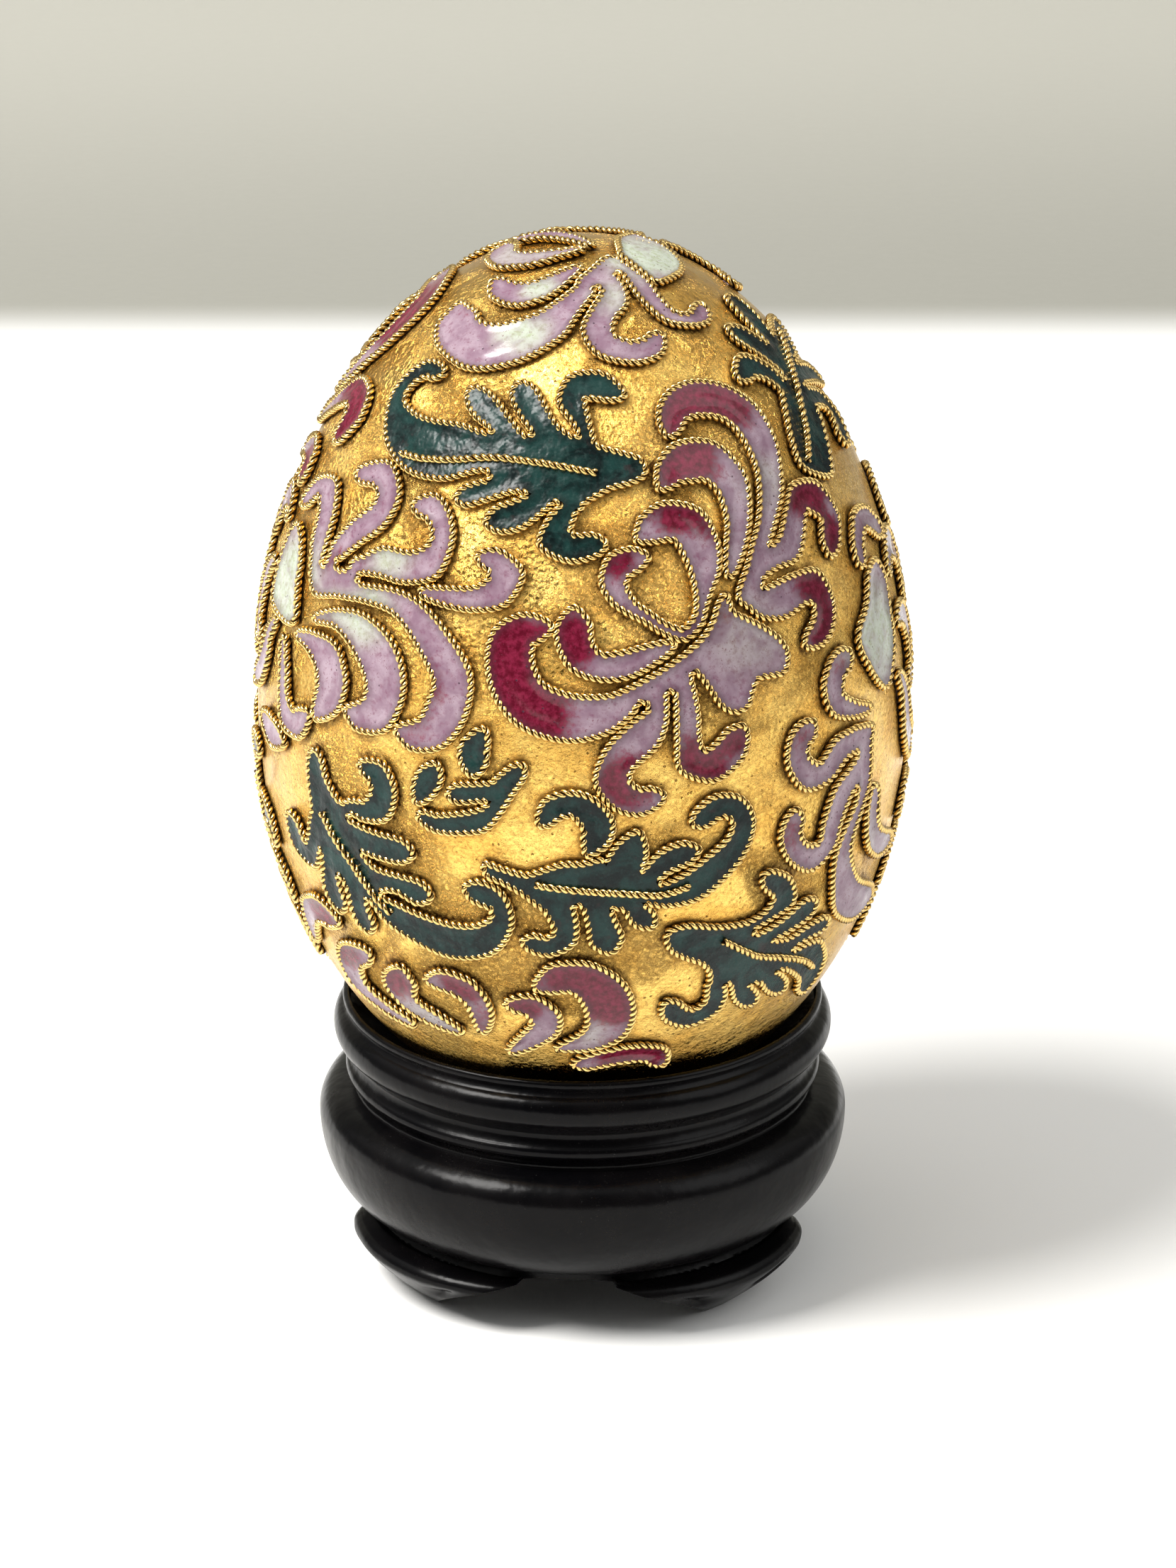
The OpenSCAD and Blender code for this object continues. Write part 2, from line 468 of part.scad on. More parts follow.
LEAF_LOWER_RIGHT = [[
  [[18.2, -20.5], [17.6, -20.25], [16.8, -20.15], [15.5, -20.2]],
  [[15.3, -18.95, .35], [16.9, -18.55, .4], [18.3, -18.5, .4]],
  [[14.2, -18.5]],
  [[13, -17.5, .45], [14.6, -16.9, .5], [16.3, -16.1, .65]],
  [[11.8, -17.2]],
  [[11.6, -16.1, .15], [13, -15.5, .2], [14.1, -14.6, .65], [13.9, -13.5, .6], [12.9, -12.6, .45]],
  [[10.6, -16], [9, -15.85], [7, -15.4], [5.9, -15.7], [6, -16.7], [7, -17.6], [8.2, -18.3],
   [8.9, -19.3], [9.05, -20.3]],
  [[9.3, -20.9, .4], [9.4, -22.3, .5], [8.9, -23.4, .6], [7.6, -23.9, .6], [6.5, -23.2, .6],
   [6.1, -22.4, .45]],
  [[10.6, -20.9]],
  [[11.3, -21.8, .45], [11.7, -22.8, .55], [12.3, -23.7, .45]],
  [[13.5, -21.5, .5], [14.2, -22.6, .6], [14.9, -23.6, .45]],
  [[15.1, -21.3]],
  [[17.3, -21.6, 1.4], [18.2, -23.5, 1.15], [18.1, -25.4, .8]]
]];
LEAF_LOWER_RIGHT_RIBS = [
  [[9.5, -16.8], [11, -18], [12.5, -19.1], [14.5, -20], [16, -20.9], [17.2, -21.9], [18, -23]]
];

TOP_FLOWER = [
  [
    [[3.7, 35.1, .35], [4.7, 33.4, .6], [5.6, 31.4, .55], [6.9, 29.7, .45], [8.5, 29.6, .35],
     [9.6, 30.4, .55], [9.8, 31.3, .45]],
    [[3.4, 36], [2.9, 36.7], [2.2, 36.6], [1.5, 35.5], [.7, 34.2], [0, 33.2]],
    [[.2, 31.8, .6], [-1.2, 29.8, .85], [-2.6, 28, 1.35], [-5.2, 26.7, 1.75], [-7.7, 26.7, 1.9],
     [-9.65, 28.3, 1.65], [-10.2, 30.2, 1.5], [-10.2, 31, 1]],
    [[.6, 31.9], [1, 32.7], [1.7, 32.4]],
    [[2.55, 31, .85], [1.65, 29.2, .75], [1.2, 27.4, .85], [1.9, 26, .85], [3.7, 25.5, .7],
     [5.2, 26.1, .65], [5.7, 27, .4]],
    [[3.1, 32.8], [2.4, 34.2]]
  ],
  [[[-.3, 38.35, .1], [-2, 37.65, .4], [-4.4, 37.2, .85], [-6.6, 37.9, 1.15], [-7.4, 39.5, 1.2],
    [-7.3, 41.2, .9]]],
  [[[-.4, 34.9, .15], [-1.6, 33.7, .55], [-3.2, 32.3, .95], [-4.9, 31.9, 1.1], [-6.5, 32.8, .9],
    [-7.1, 34, .45]]],
  [[[6.4, 35.4, 1.2], [6.5, 36.6, 2], [6.3, 38, 2.6], [6, 40, 2.5], [5.6, 42, 2], [5.4, 43.2, 1]]],
  [[[.6, 39.6, .1], [-1.2, 41.5, .5], [-3.5, 43, .8], [-6, 43.4, .8]]]
];

SIDE_SPRAY = [
  [
    [[1.6, -11.5, .8], [2.2, -9.8, .6], [3.3, -8.6, .55], [4.6, -8.5, .4]],
    [[.5, -11.9]],
    [[-.2, -13, .6], [-1.6, -12.4, .75], [-3, -12.4, .7], [-3.8, -13.2, .4]],
    [[-.5, -14.8]],
    [[-.6, -16.6, .8], [-2.2, -16.4, .9], [-3.9, -17, .75], [-4.6, -18, .4]],
    [[-.5, -18.6]],
    [[-.3, -20.4, .8], [-1.8, -20.8, .8], [-3, -21.9, .7], [-3.4, -23, .4]],
    [[.9, -23.4, 1], [.6, -25.4, .8], [.2, -27, .45]],
    [[2.6, -20.9, .8], [4.2, -21.3, .8], [5.6, -22.3, .7], [6.2, -23.4, .4]],
    [[2.8, -19]],
    [[3, -17.2, .8], [4.6, -17, .9], [6, -17.6, .75], [6.6, -18.6, .4]],
    [[2.8, -15.3]],
    [[2.6, -13.6, .7], [4.2, -13, .8], [5.6, -13.3, .7], [6.3, -14.3, .4]]
  ],
  [[[-5, 4.3, .1], [-4, 5.1, .45], [-2.6, 5.3, .8], [-1.1, 4.2, .9], [-.6, 2.5, .8], [-1.3, 1.3, .4]]],
  [[[-5.4, .8, .1], [-4.5, .9, .4], [-3.2, .2, .7], [-2.3, -1.6, .8], [-2.6, -3.4, .65], [-3.6, -4, .35]]],
  [[[-6.8, -2.6, .1], [-6.2, -3.3, .35], [-5.6, -4.6, .6], [-4.9, -6.8, .8], [-3.6, -8.4, .85],
    [-2, -8.6, .5]]],
  [[[4, 7.9, .1], [3, 8.6, .4], [1.8, 8.6, .7], [.8, 7.4, .75], [.9, 6.1, .4]]],
  [[[4.1, 4.5, .1], [3.3, 3.9, .35], [2.6, 2.9, .6], [2.2, 1.2, .75], [2.9, -.3, .6], [4, -.6, .35]]],
  [[[7.3, 1.5, .1], [6.6, .4, .3], [6.3, -1, .5], [5.5, -2.6, .6], [4.4, -3.4, .4]]]
];
SIDE_SPRAY_RIBS = [[[1.8, -11.4], [1.4, -14], [1.2, -17], [1.1, -20], [.9, -23], [.7, -25]]];

BACK_CROWN = [
  [
    [[15, 28.6, 1.3], [17.2, 29, .9], [18.8, 29.6, .45]],
    [[14.2, 30]],
    [[12.8, 30.2, .7], [13.1, 31.4, .5]],
    [[11.6, 29.9]],
    [[9.6, 29.8, .9], [9.2, 31.6, .9], [8, 32.8, .8], [6.6, 32.8, .4]],
    [[8, 29]],
    [[7, 28, .7], [5.2, 27.6, .6], [3.6, 28.4, .6], [3.2, 29.8, .4]],
    [[9.4, 26.8, .7], [8.9, 25.7, .45]],
    [[10.6, 27]],
    [[12.2, 26.8, .9], [13.4, 25.2, .9], [15, 24.2, .7], [16.4, 24.6, .4]]
  ],
  [[[-4.9, 37.3, .1], [-4.3, 35.8, .6], [-2.6, 33.8, 1.1], [-.2, 32.4, 1.3], [2, 32.8, 1.1],
    [2.8, 34.2, .5]]],
  [[[-7.6, 37.6, .1], [-8.1, 35.8, .5], [-9.6, 33.8, .9], [-11.6, 32.6, 1.1], [-13.2, 33.2, .8],
    [-13.6, 34.4, .4]]],
  [[[21.2, 30.6, .1], [20.2, 27.4, .6], [19.2, 24.4, 1], [19, 21.4, 1.1], [20, 19.2, .9], [21.2, 18.8, .4]]]
];
BACK_CROWN_RIBS = [[[5.6, 27.8], [8, 28], [10.4, 28.4], [13, 28.5], [16.6, 28.8]]];

// ---- The sub-parts ----

function drawing(motif) =
  motif == "rose" ? ROSE
  : motif == "left_flower" ? LEFT_FLOWER
  : motif == "right_flower" ? RIGHT_FLOWER
  : motif == "bottom_flower" ? BOTTOM_FLOWER
  : motif == "side_petals" ? SIDE_PETALS
  : motif == "sprig" ? SPRIG
  : motif == "leaf_upper_left" ? LEAF_UPPER_LEFT
  : motif == "leaf_upper_right" ? LEAF_UPPER_RIGHT
  : motif == "leaf_lower_left" ? LEAF_LOWER_LEFT
  : motif == "leaf_lower_centre" ? LEAF_LOWER_CENTRE
  : motif == "leaf_lower_right" ? LEAF_LOWER_RIGHT
  : motif == "side_spray" ? SIDE_SPRAY
  : motif == "back_crown" ? BACK_CROWN
  : TOP_FLOWER;
function midribs(motif) =
  motif == "leaf_upper_left" ? LEAF_UPPER_LEFT_RIBS
  : motif == "leaf_upper_right" ? LEAF_UPPER_RIGHT_RIBS
  : motif == "leaf_lower_left" ? LEAF_LOWER_LEFT_RIBS
  : motif == "leaf_lower_centre" ? LEAF_LOWER_CENTRE_RIBS
  : motif == "leaf_lower_right" ? LEAF_LOWER_RIGHT_RIBS
  : motif == "side_spray" ? SIDE_SPRAY_RIBS
  : motif == "back_crown" ? BACK_CROWN_RIBS
  : [];
function is_leaf(motif) = len(midribs(motif)) > 0 || motif == "sprig";

module motif_wires(motif, turn) {
  color("goldenrod")
    wires(drawing(motif), midribs(motif), turn);
}
module motif_enamel(motif, turn) {
  color(is_leaf(motif) ? "darkgreen" : "mediumvioletred")
    enamel(drawing(motif), turn);
}
// Half of the copper shell, between two polar angles
module shell(from, to) {
  steps = round(egg_steps * (to - from) / 180);
  outer = [for (i = [0 : steps]) outline_at(from + (to - from) * i / steps, 0)];
  inner = [for (i = [steps : -1 : 0]) outline_at(from + (to - from) * i / steps, -copper_wall)];
  rotate_extrude()
    polygon(concat(outer, inner));
}
module shell_upper() {
  color("gold")
    shell(0, seam_polar);
}
module shell_lower() {
  color("gold")
    difference() {
      shell(seam_polar, 180);
      translate([0, 0, egg_centre_height - egg_b - 1])
        cylinder(h = copper_wall + 2, d = vent_diameter);
    }
}

// A round stretch of an outline from one angle to another
function arc(middle, radii, from, to, steps) = [
  for (i = [0 : steps]) let (angle = from + (to - from) * i / steps)
    middle + [radii[0] * cos(angle), radii[1] * sin(angle)]
];
// The dish follows the egg, closest at the seat and opening towards the rim and the middle
function dish_gap(polar) = seat_gap + dish_opening * pow((polar - seat_polar) / seat_span, 2);
module turned_stand() {
  rim = rim_diameter / 2;
  belly = belly_diameter / 2;
  dish = [for (i = [0 : dish_steps]) let (polar = 180 - rim_polar * i / dish_steps)
    outline_at(polar, dish_gap(polar))];
  rotate_extrude()
    polygon(concat(
      dish,
      arc([rim - 0.95, stand_height - 0.4], [0.4, 0.4], 90, -60, 6),
      arc([rim - 0.9, stand_height - 2.3], [0.9, 1], 75, -75, 10),
      [[rim - 1.15, stand_height - 4.2]],
      arc([rim - 1.15, stand_height - 5.4], [0.45, 0.5], 80, -80, 6),
      [[rim - 1.3, stand_height - 6.5]],
      arc([belly - 2.2, belly_level], [2.2, 1.9], 75, 0, 6),
      arc(
        [waist_radius - 0.2, belly_level],
        [belly - waist_radius + 0.2, belly_level - waist_level], -8, -80, 12
      ),
      [[waist_radius, waist_level], [waist_radius, base_top - 0.2], [0, base_top - 0.2]]
    ));
}
// A square of the base's width with round corners
module base_outline() {
  inset = base_width / 2 - base_corner;
  square([base_width, 2 * inset], center = true);
  square([2 * inset, base_width], center = true);
  for (x = [-inset, inset], y = [-inset, inset])
    translate([x, y])
      circle(r = base_corner);
}
module base() {
  difference() {
    intersection() {
      linear_extrude(base_top + 0.01)
        base_outline();
      rotate_extrude()
        polygon(concat(
          [[0, 0], [base_width, 0], [base_width, base_top - 1.5]],
          arc([waist_radius + 4.4, base_top + 0.6], [4.4, 2.3], -75, -170, 8),
          [[0, base_top + 0.01]]
        ));
    }
    for (side = [0, 90])
      rotate([90, 0, side])
        translate([0, 0, -base_width])
          linear_extrude(2 * base_width)
            polygon(arc([0, 0], [arch_span / 2, arch_height], 0, 180, 20));
    for (side = [22.5 : 45 : 337.5])
      rotate([0, 0, side])
        translate([sole_reach, 0, 0])
          rotate([0, -toe_slope, 0])
            translate([0, -base_width / 2, -base_top])
              cube([base_width, base_width, base_top]);
  }
}
module stand() {
  color([0.07, 0.05, 0.05])
    rotate([0, 0, stand_turn])
      union() {
        turned_stand();
        base();
      }
}

stand();
shell_upper();
shell_lower();
for (place = PLACED) {
  motif_wires(place[1], place[2]);
  motif_enamel(place[1], place[2]);
}
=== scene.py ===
"""Enamelled gilt-copper egg on a carved black stand: looks, light and camera.

Lengths in this file are millimetres until a mesh is made. Light and camera are in metres, Blender's own.
"""

import math

import bmesh
import bpy
import numpy as np
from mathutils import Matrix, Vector
from mathutils.geometry import delaunay_2d_cdt
from mathutils.kdtree import KDTree


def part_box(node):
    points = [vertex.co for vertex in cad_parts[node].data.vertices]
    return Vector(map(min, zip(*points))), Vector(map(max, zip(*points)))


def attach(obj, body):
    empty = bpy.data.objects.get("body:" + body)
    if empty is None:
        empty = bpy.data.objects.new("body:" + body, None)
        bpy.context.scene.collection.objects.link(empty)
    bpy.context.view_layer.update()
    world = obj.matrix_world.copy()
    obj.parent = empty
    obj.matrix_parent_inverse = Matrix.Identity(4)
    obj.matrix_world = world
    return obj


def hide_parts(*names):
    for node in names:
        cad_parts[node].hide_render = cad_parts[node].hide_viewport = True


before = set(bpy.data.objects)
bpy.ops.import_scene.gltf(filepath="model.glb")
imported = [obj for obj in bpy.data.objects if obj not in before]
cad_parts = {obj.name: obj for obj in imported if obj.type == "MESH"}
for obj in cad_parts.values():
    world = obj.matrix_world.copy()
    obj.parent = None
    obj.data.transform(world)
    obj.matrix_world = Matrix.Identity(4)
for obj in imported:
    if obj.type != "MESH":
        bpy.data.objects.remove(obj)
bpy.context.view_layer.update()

MM = 0.001

# ---- The egg's shape, as the CAD has it ----
EGG_TAPER = 0.056
COPPER_WALL = 0.8
VENT_RADIUS = 0.8
PANEL_LATITUDE = math.radians(10)
EGG_MEAN_RADIUS = 26
ON_AXIS = 1e-6

# ---- Wire and enamel ----
STRAND_RADIUS = 0.145
TWIST_RADIUS = 0.143
TWIST_PITCH = 0.98
WIRE_LIFT = 0.28
RIB_LIFT = 0.44
RINGS_PER_MM = 12
STRAND_SIDES = 6
STRAND_TIP = 0.55
RIDGE_LEAST = 0.45
ENAMEL_LEVEL = 0.29
ENAMEL_LEAST = 0.2
ENAMEL_DOME = 0.05
ENAMEL_SWAY = 0.02
ENAMEL_DEPTH = 0.05
MENISCUS_RISE = 0.13
MENISCUS_WIDTH = 0.32
ENAMEL_STEP = 0.32
ENAMEL_EDGE_STEP = 0.2
ENAMEL_UNDER_WIRE = 0.12

# ---- Ground ----
SHELL_SEGMENTS = 400
SHELL_ROW = 0.33
SHELL_INNER_ROW = 2
# Painted shadow on the gilt ground next to the wires: how far it reaches and how wide it fades, in
# millimetres
SHADE_REACH = 0.60
SHADE_FADE = 0.30

# ---- Stand ----
STAND_TURN = math.radians(-4)
STAND_SEGMENTS = 480
STAND_HEIGHT = 19.8
RIM = 17.3
BELLY = 18.4
BELLY_LEVEL = 11.0
WAIST_RADIUS = 14.3
WAIST_LEVEL = 4.7
BASE_HALF_WIDTH = 15.9
BASE_CORNER = 13.0
KNEE_LEVEL = 3.8
TOE_RADIUS = 13.9
ARCH_HEIGHT = 4.15
ARCH_SPAN = 18.4
ARCH_POWER = 2.5

# The dish's gap from the egg grows away from the seat ring, which lies at an angle from the egg's top
SEAT_POLAR = 157
SEAT_GAP = 0.06
DISH_GAP = 1.1
DISH_SPREAD = 17.5
DISH_LIP = 0.9

# The shelf over the feet draws back to its least reach past the waist near the middle of each side; the
# fade is in degrees from that middle
SHELF_LEAST = 0.5
SHELF_FADE_START = 3
SHELF_FADE = 15

# The hollow carved on both flanks of a foot; its angle and spread are in degrees from the foot's corner
HOLLOW_ANGLE = 13
HOLLOW_SPREAD = 6
HOLLOW_LEVEL = 2.3
HOLLOW_SLOPE = 0.05
HOLLOW_HALF_HEIGHT = 0.55
HOLLOW_DEPTH = 0.6
HOLLOW_FADE = 0.8

OUTLINE_SAMPLES = 400
FACE_ROWS = 72
UNDERSIDE_ROWS = 30

# ---- Floor ----
FLOOR_FRONT = -600
FLOOR_BACK = 500
FLOOR_HALF_WIDTH = 1200
SWEEP_RADIUS = 300
SWEEP_TOP = 1200
TABLE_EDGE = (226, 247)
GREY_GRADIENT = (230, 430)

# ---- Light and camera, in metres ----
AIM_HEIGHT = 0.035
CAMERA_PLACE = (0.000385, -0.3168, 0.1571)
CAMERA_TILT = math.radians(90 - 21.13)
CAMERA_LENS = 151.9
CAMERA_SENSOR = 36

# Crimson blushes and pale clouds in the lilac enamel: [u, v, radius, strength] in the
# chart of the drawing's panel
BLUSHES = {
    "rose": [
        [7.5, 21.3, 4.2, 1.0], [11, 22, 3.0, 0.8], [7, 17.2, 3.4, 1.0], [6.4, 13.2, 2.4, 0.8],
        [9, 12, 1.6, 0.5], [2.3, 9.8, 1.8, 0.7], [-4.8, 3.6, 3.6, 1.0], [-3.6, 0.2, 3.8, 1.0],
        [-0.6, 4.6, 2.4, 0.9], [2.6, -4.6, 2.6, 0.8], [7.6, -3.6, 2.6, 0.9], [10, -1.6, 1.8, 0.8],
        [16.6, 15.4, 2.6, 1.0], [18.6, 12.4, 2.2, 1.0], [16.6, 8.6, 2.4, 0.8], [17.4, 5.4, 2.2, 1.0],
        [9.4, 6.2, 0.9, 0.5],
    ],
    "left_flower": [
        [-10.4, 1.6, 2.4, 0.5], [-11, -1.2, 1.8, 0.4], [-18.4, 10.2, 1.8, 0.4], [-9, 10.2, 1.2, 0.3],
    ],
    "right_flower": [
        [19, 2.4, 1.6, 0.4], [14.8, -2.6, 1.8, 0.4], [14.2, -9.4, 1.8, 0.5], [23, 14, 1.6, 0.3],
    ],
    "bottom_flower": [
        [-0.6, -18.6, 3.2, 1.0], [2.4, -21.4, 3.0, 1.0], [-4, -21.6, 2.2, 1.0], [-8, -20.2, 2.8, 0.8],
        [-13.4, -22, 2.6, 0.8], [-18.6, -21.6, 2.8, 0.8], [-20.4, -18.2, 2.8, 0.9], [3.6, -27.6, 3.4, 1.0],
        [-6.6, -24, 1.8, 0.5],
    ],
    "side_petals": [
        [-16, 33, 4.8, 0.9], [-13.8, 38, 3.6, 0.7], [-19.6, 25.6, 3.4, 1.0], [-20, 22, 2.4, 1.0],
        [-25, 20.4, 2.8, 1.0],
    ],
    "top_flower": [[-9.6, 31, 1.6, 0.25], [5.6, 28.6, 1.2, 0.3], [9.6, 31, 1.4, 0.3]],
    "side_spray": [[-9.5, 1.5, 3.2, 0.8], [8, 5.5, 3.2, 0.7]],
    "back_crown": [[-6.5, 44, 4.0, 0.7], [4, 36, 3.0, 0.6]],
}
CLOUDS = {
    "rose": [[11, 5, 3.4, 0.25], [13, 16, 2.6, 0.3]],
    "left_flower": [
        [-15, 6.4, 2.6, 0.9], [-24, 9, 5.0, 1.0], [-13.4, 10.4, 2.2, 0.7], [-18, 6.8, 2.0, 0.6],
    ],
    "right_flower": [[23.6, 5, 5.0, 0.9], [22, -12, 2.6, 0.3]],
    "bottom_flower": [[0.4, -24.6, 1.8, 0.3], [-11, -26, 3.4, 0.4]],
    "top_flower": [
        [-4.6, 27.6, 2.6, 0.9], [-3.4, 32.4, 2.0, 0.8], [6, 38.6, 6.0, 1.0], [-5, 39, 4.0, 0.4],
        [2.4, 31, 2.4, 0.6],
    ],
    "side_petals": [[-26, 29, 3.4, 0.4]],
    "side_spray": [[-4, 8, 3.0, 0.5]],
    "back_crown": [[6, 44, 3.0, 0.6]],
}


# ==== The egg's skin and its charts ====

egg_low, egg_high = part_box("shell_lower")[0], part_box("shell_upper")[1]
EGG_B = (egg_high.z - egg_low.z) / 2 / MM
EGG_CENTRE = (egg_high.z + egg_low.z) / 2 / MM
SEAM_RISE = (1 - math.sqrt(1 + 8 * EGG_TAPER**2)) / (4 * EGG_TAPER)
EGG_A = egg_high.x / MM / (math.sqrt(1 - SEAM_RISE**2) * (1 - EGG_TAPER * SEAM_RISE))


def unit(v):
    return v / np.maximum(np.linalg.norm(v, axis=-1, keepdims=True), 1e-12)


def skin(way):
    """Points of the egg's skin for unit directions."""
    slim = EGG_A * (1 - EGG_TAPER * way[..., 2:3])
    level = way[..., :2] * slim
    return np.concatenate([level, way[..., 2:3] * EGG_B + EGG_CENTRE], axis=-1)


def skin_normal(way):
    rise = way[..., 2:3]
    upright = EGG_A * (rise - EGG_TAPER * (2 * rise**2 - 1))
    return unit(np.concatenate([EGG_B * way[..., :2], upright], axis=-1))


def read_skin(points):
    """Directions and heights above the skin of points close to it."""
    points = np.asarray(points, float)
    base = points.copy()
    rise = np.clip((points[:, 2:3] - EGG_CENTRE) / EGG_B, -1, 1)
    for _ in range(8):
        slim = EGG_A * (1 - EGG_TAPER * rise)
        way = unit(np.concatenate([base[:, :2] / slim, (base[:, 2:3] - EGG_CENTRE) / EGG_B], axis=1))
        rise = way[:, 2:3]
        normal = skin_normal(way)
        height = ((points - skin(way)) * normal).sum(axis=1, keepdims=True)
        base = points - height * normal
    return way, height[:, 0]


ACROSS_SCALE = EGG_A * (1 - EGG_TAPER * math.sin(PANEL_LATITUDE))
UP_SCALE = math.hypot(EGG_A * math.sin(PANEL_LATITUDE), EGG_B * math.cos(PANEL_LATITUDE))


class Chart:
    """A panel of the skin laid flat: u to the right and v up, in millimetres from its middle."""

    def __init__(self, turn):
        turn = math.radians(turn)
        low, high = math.cos(PANEL_LATITUDE), math.sin(PANEL_LATITUDE)
        self.middle = np.array([math.sin(turn) * low, -math.cos(turn) * low, high])
        self.right = np.array([math.cos(turn), math.sin(turn), 0.0])
        self.up = np.array([-math.sin(turn) * high, math.cos(turn) * high, low])

    def flat(self, way):
        reach = np.arccos(np.clip(way @ self.middle, -1, 1))
        share = np.where(reach > 1e-9, reach / np.maximum(np.sin(reach), 1e-9), 1.0)
        return np.stack([way @ self.right * share * ACROSS_SCALE, way @ self.up * share * UP_SCALE], axis=1)

    def way(self, flat):
        reach = flat / [ACROSS_SCALE, UP_SCALE]
        size = np.linalg.norm(reach, axis=1, keepdims=True)
        share = np.where(size > 1e-9, np.sin(size) / np.maximum(size, 1e-9), 1.0)
        across = reach[:, :1] * share * self.right
        return unit(self.middle * np.cos(size) + across + reach[:, 1:] * share * self.up)


def turn_of(node):
    turns = {"back": 180, "right_side": 90, "left_side": 270}
    return next((turn for start, turn in turns.items() if node.startswith(start)), 0)


def motif_of(node):
    return next((motif for motif in BLUSHES if motif in node), "leaf")


# ==== Lines read from the CAD's wires and enamel ====


def merged(node):
    """The node's mesh as a bmesh in which each corner is one point, with heights above the skin."""
    mesh = bmesh.new()
    mesh.from_mesh(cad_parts[node].data)
    bmesh.ops.remove_doubles(mesh, verts=mesh.verts, dist=2e-6)
    mesh.verts.ensure_lookup_table()
    points = np.array([vertex.co for vertex in mesh.verts], float) / MM
    return mesh, points, read_skin(points)[1]


def walk(edges):
    """Orders edges into lines: [(points in order, whether closed)]."""
    links = {}
    for a, b in edges:
        links.setdefault(a, []).append(b)
        links.setdefault(b, []).append(a)
    lines = []
    left = set(links)
    ends = [point for point in sorted(links) if len(links[point]) == 1]
    for start in ends + sorted(links):
        if start not in left:
            continue
        line = [start]
        left.discard(start)
        while True:
            onward = [point for point in links[line[-1]] if point in left]
            if not onward:
                break
            line.append(onward[0])
            left.discard(onward[0])
        if len(line) > 2:
            lines.append((line, line[0] in links[line[-1]]))
    return lines


def ridge_lines(node):
    """The crest lines of the CAD's wires: [(points, whether closed)]."""
    mesh, points, heights = merged(node)
    edges = [[v.index for v in edge.verts] for edge in mesh.edges]
    mesh.free()
    crests = [edge for edge in edges if min(heights[edge]) > RIDGE_LEAST]
    return [(points[line], closed) for line, closed in walk(crests)]


def edge_lines(node):
    """The outlines of the CAD's enamel cells, along their upper edge."""
    mesh, points, heights = merged(node)
    top = {face for face in mesh.faces if min(heights[v.index] for v in face.verts) > ENAMEL_LEAST}
    edges = [[v.index for v in edge.verts] for edge in mesh.edges
             if sum(face in top for face in edge.link_faces) == 1]
    mesh.free()
    return [points[line] for line, closed in walk(edges) if closed]


def rounded_line(points, closed, step):
    """An even line that curves smoothly through the points, and its length."""
    count = len(points)
    samples, least_steps = 8, 8
    if closed:
        grid = points[np.arange(-1, count + 2) % count]
        spans = count
    else:
        grid = np.vstack([2 * points[0] - points[1], points, 2 * points[-1] - points[-2]])
        spans = count - 1
    p0, p1, p2, p3 = (grid[k:k + spans, None, :] for k in range(4))
    t = np.linspace(0, 1, samples, endpoint=False)[None, :, None]
    bend = 0.5 * (2 * p1 + (p2 - p0) * t + (2 * p0 - 5 * p1 + 4 * p2 - p3) * t**2
                  + (3 * p1 - p0 - 3 * p2 + p3) * t**3)
    fine = bend.reshape(-1, points.shape[1])
    fine = np.vstack([fine, fine[:1] if closed else points[-1:]])
    run = np.concatenate([[0], np.cumsum(np.linalg.norm(np.diff(fine, axis=0), axis=1))])
    steps = max(round(run[-1] / step), least_steps)
    at = np.linspace(0, run[-1], steps + (0 if closed else 1), endpoint=not closed)
    even = np.stack([np.interp(at, run, fine[:, k]) for k in range(points.shape[1])], axis=1)
    return even, run[-1]


# ==== Making pieces ====


def make_piece(name, points, faces, material, body, numbers, sharp):
    """An object from points in millimetres, with named numbers for its points; sharp is in degrees."""
    mesh = bpy.data.meshes.new(name)
    mesh.from_pydata((np.asarray(points) * MM).tolist(), [], faces)
    for title, values in numbers.items():
        layer = mesh.attributes.new(title, "FLOAT", "POINT")
        layer.data.foreach_set("value", np.asarray(values, np.float32))
    mesh.shade_smooth()
    mesh.set_sharp_from_angle(angle=math.radians(sharp))
    mesh.validate()
    mesh.materials.append(material)
    piece = bpy.data.objects.new(name, mesh)
    bpy.context.scene.collection.objects.link(piece)
    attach(piece, body)
    return piece


class Build:
    """Points and faces gathered from several parts of one piece."""

    def __init__(self):
        self.points, self.faces, self.numbers, self.count = [], [], {}, 0

    def add(self, points, faces, **numbers):
        self.points.append(points)
        self.faces.extend((np.asarray(faces) + self.count).tolist() if len(faces) else [])
        self.count += len(points)
        for title, values in numbers.items():
            self.numbers.setdefault(title, []).append(np.asarray(values))

    def piece(self, name, material, body, sharp):
        numbers = {title: np.concatenate(values) for title, values in self.numbers.items()}
        points = np.vstack(self.points)
        return make_piece(name, points, self.faces, material, body, numbers, sharp)


# ==== Twisted wire ====


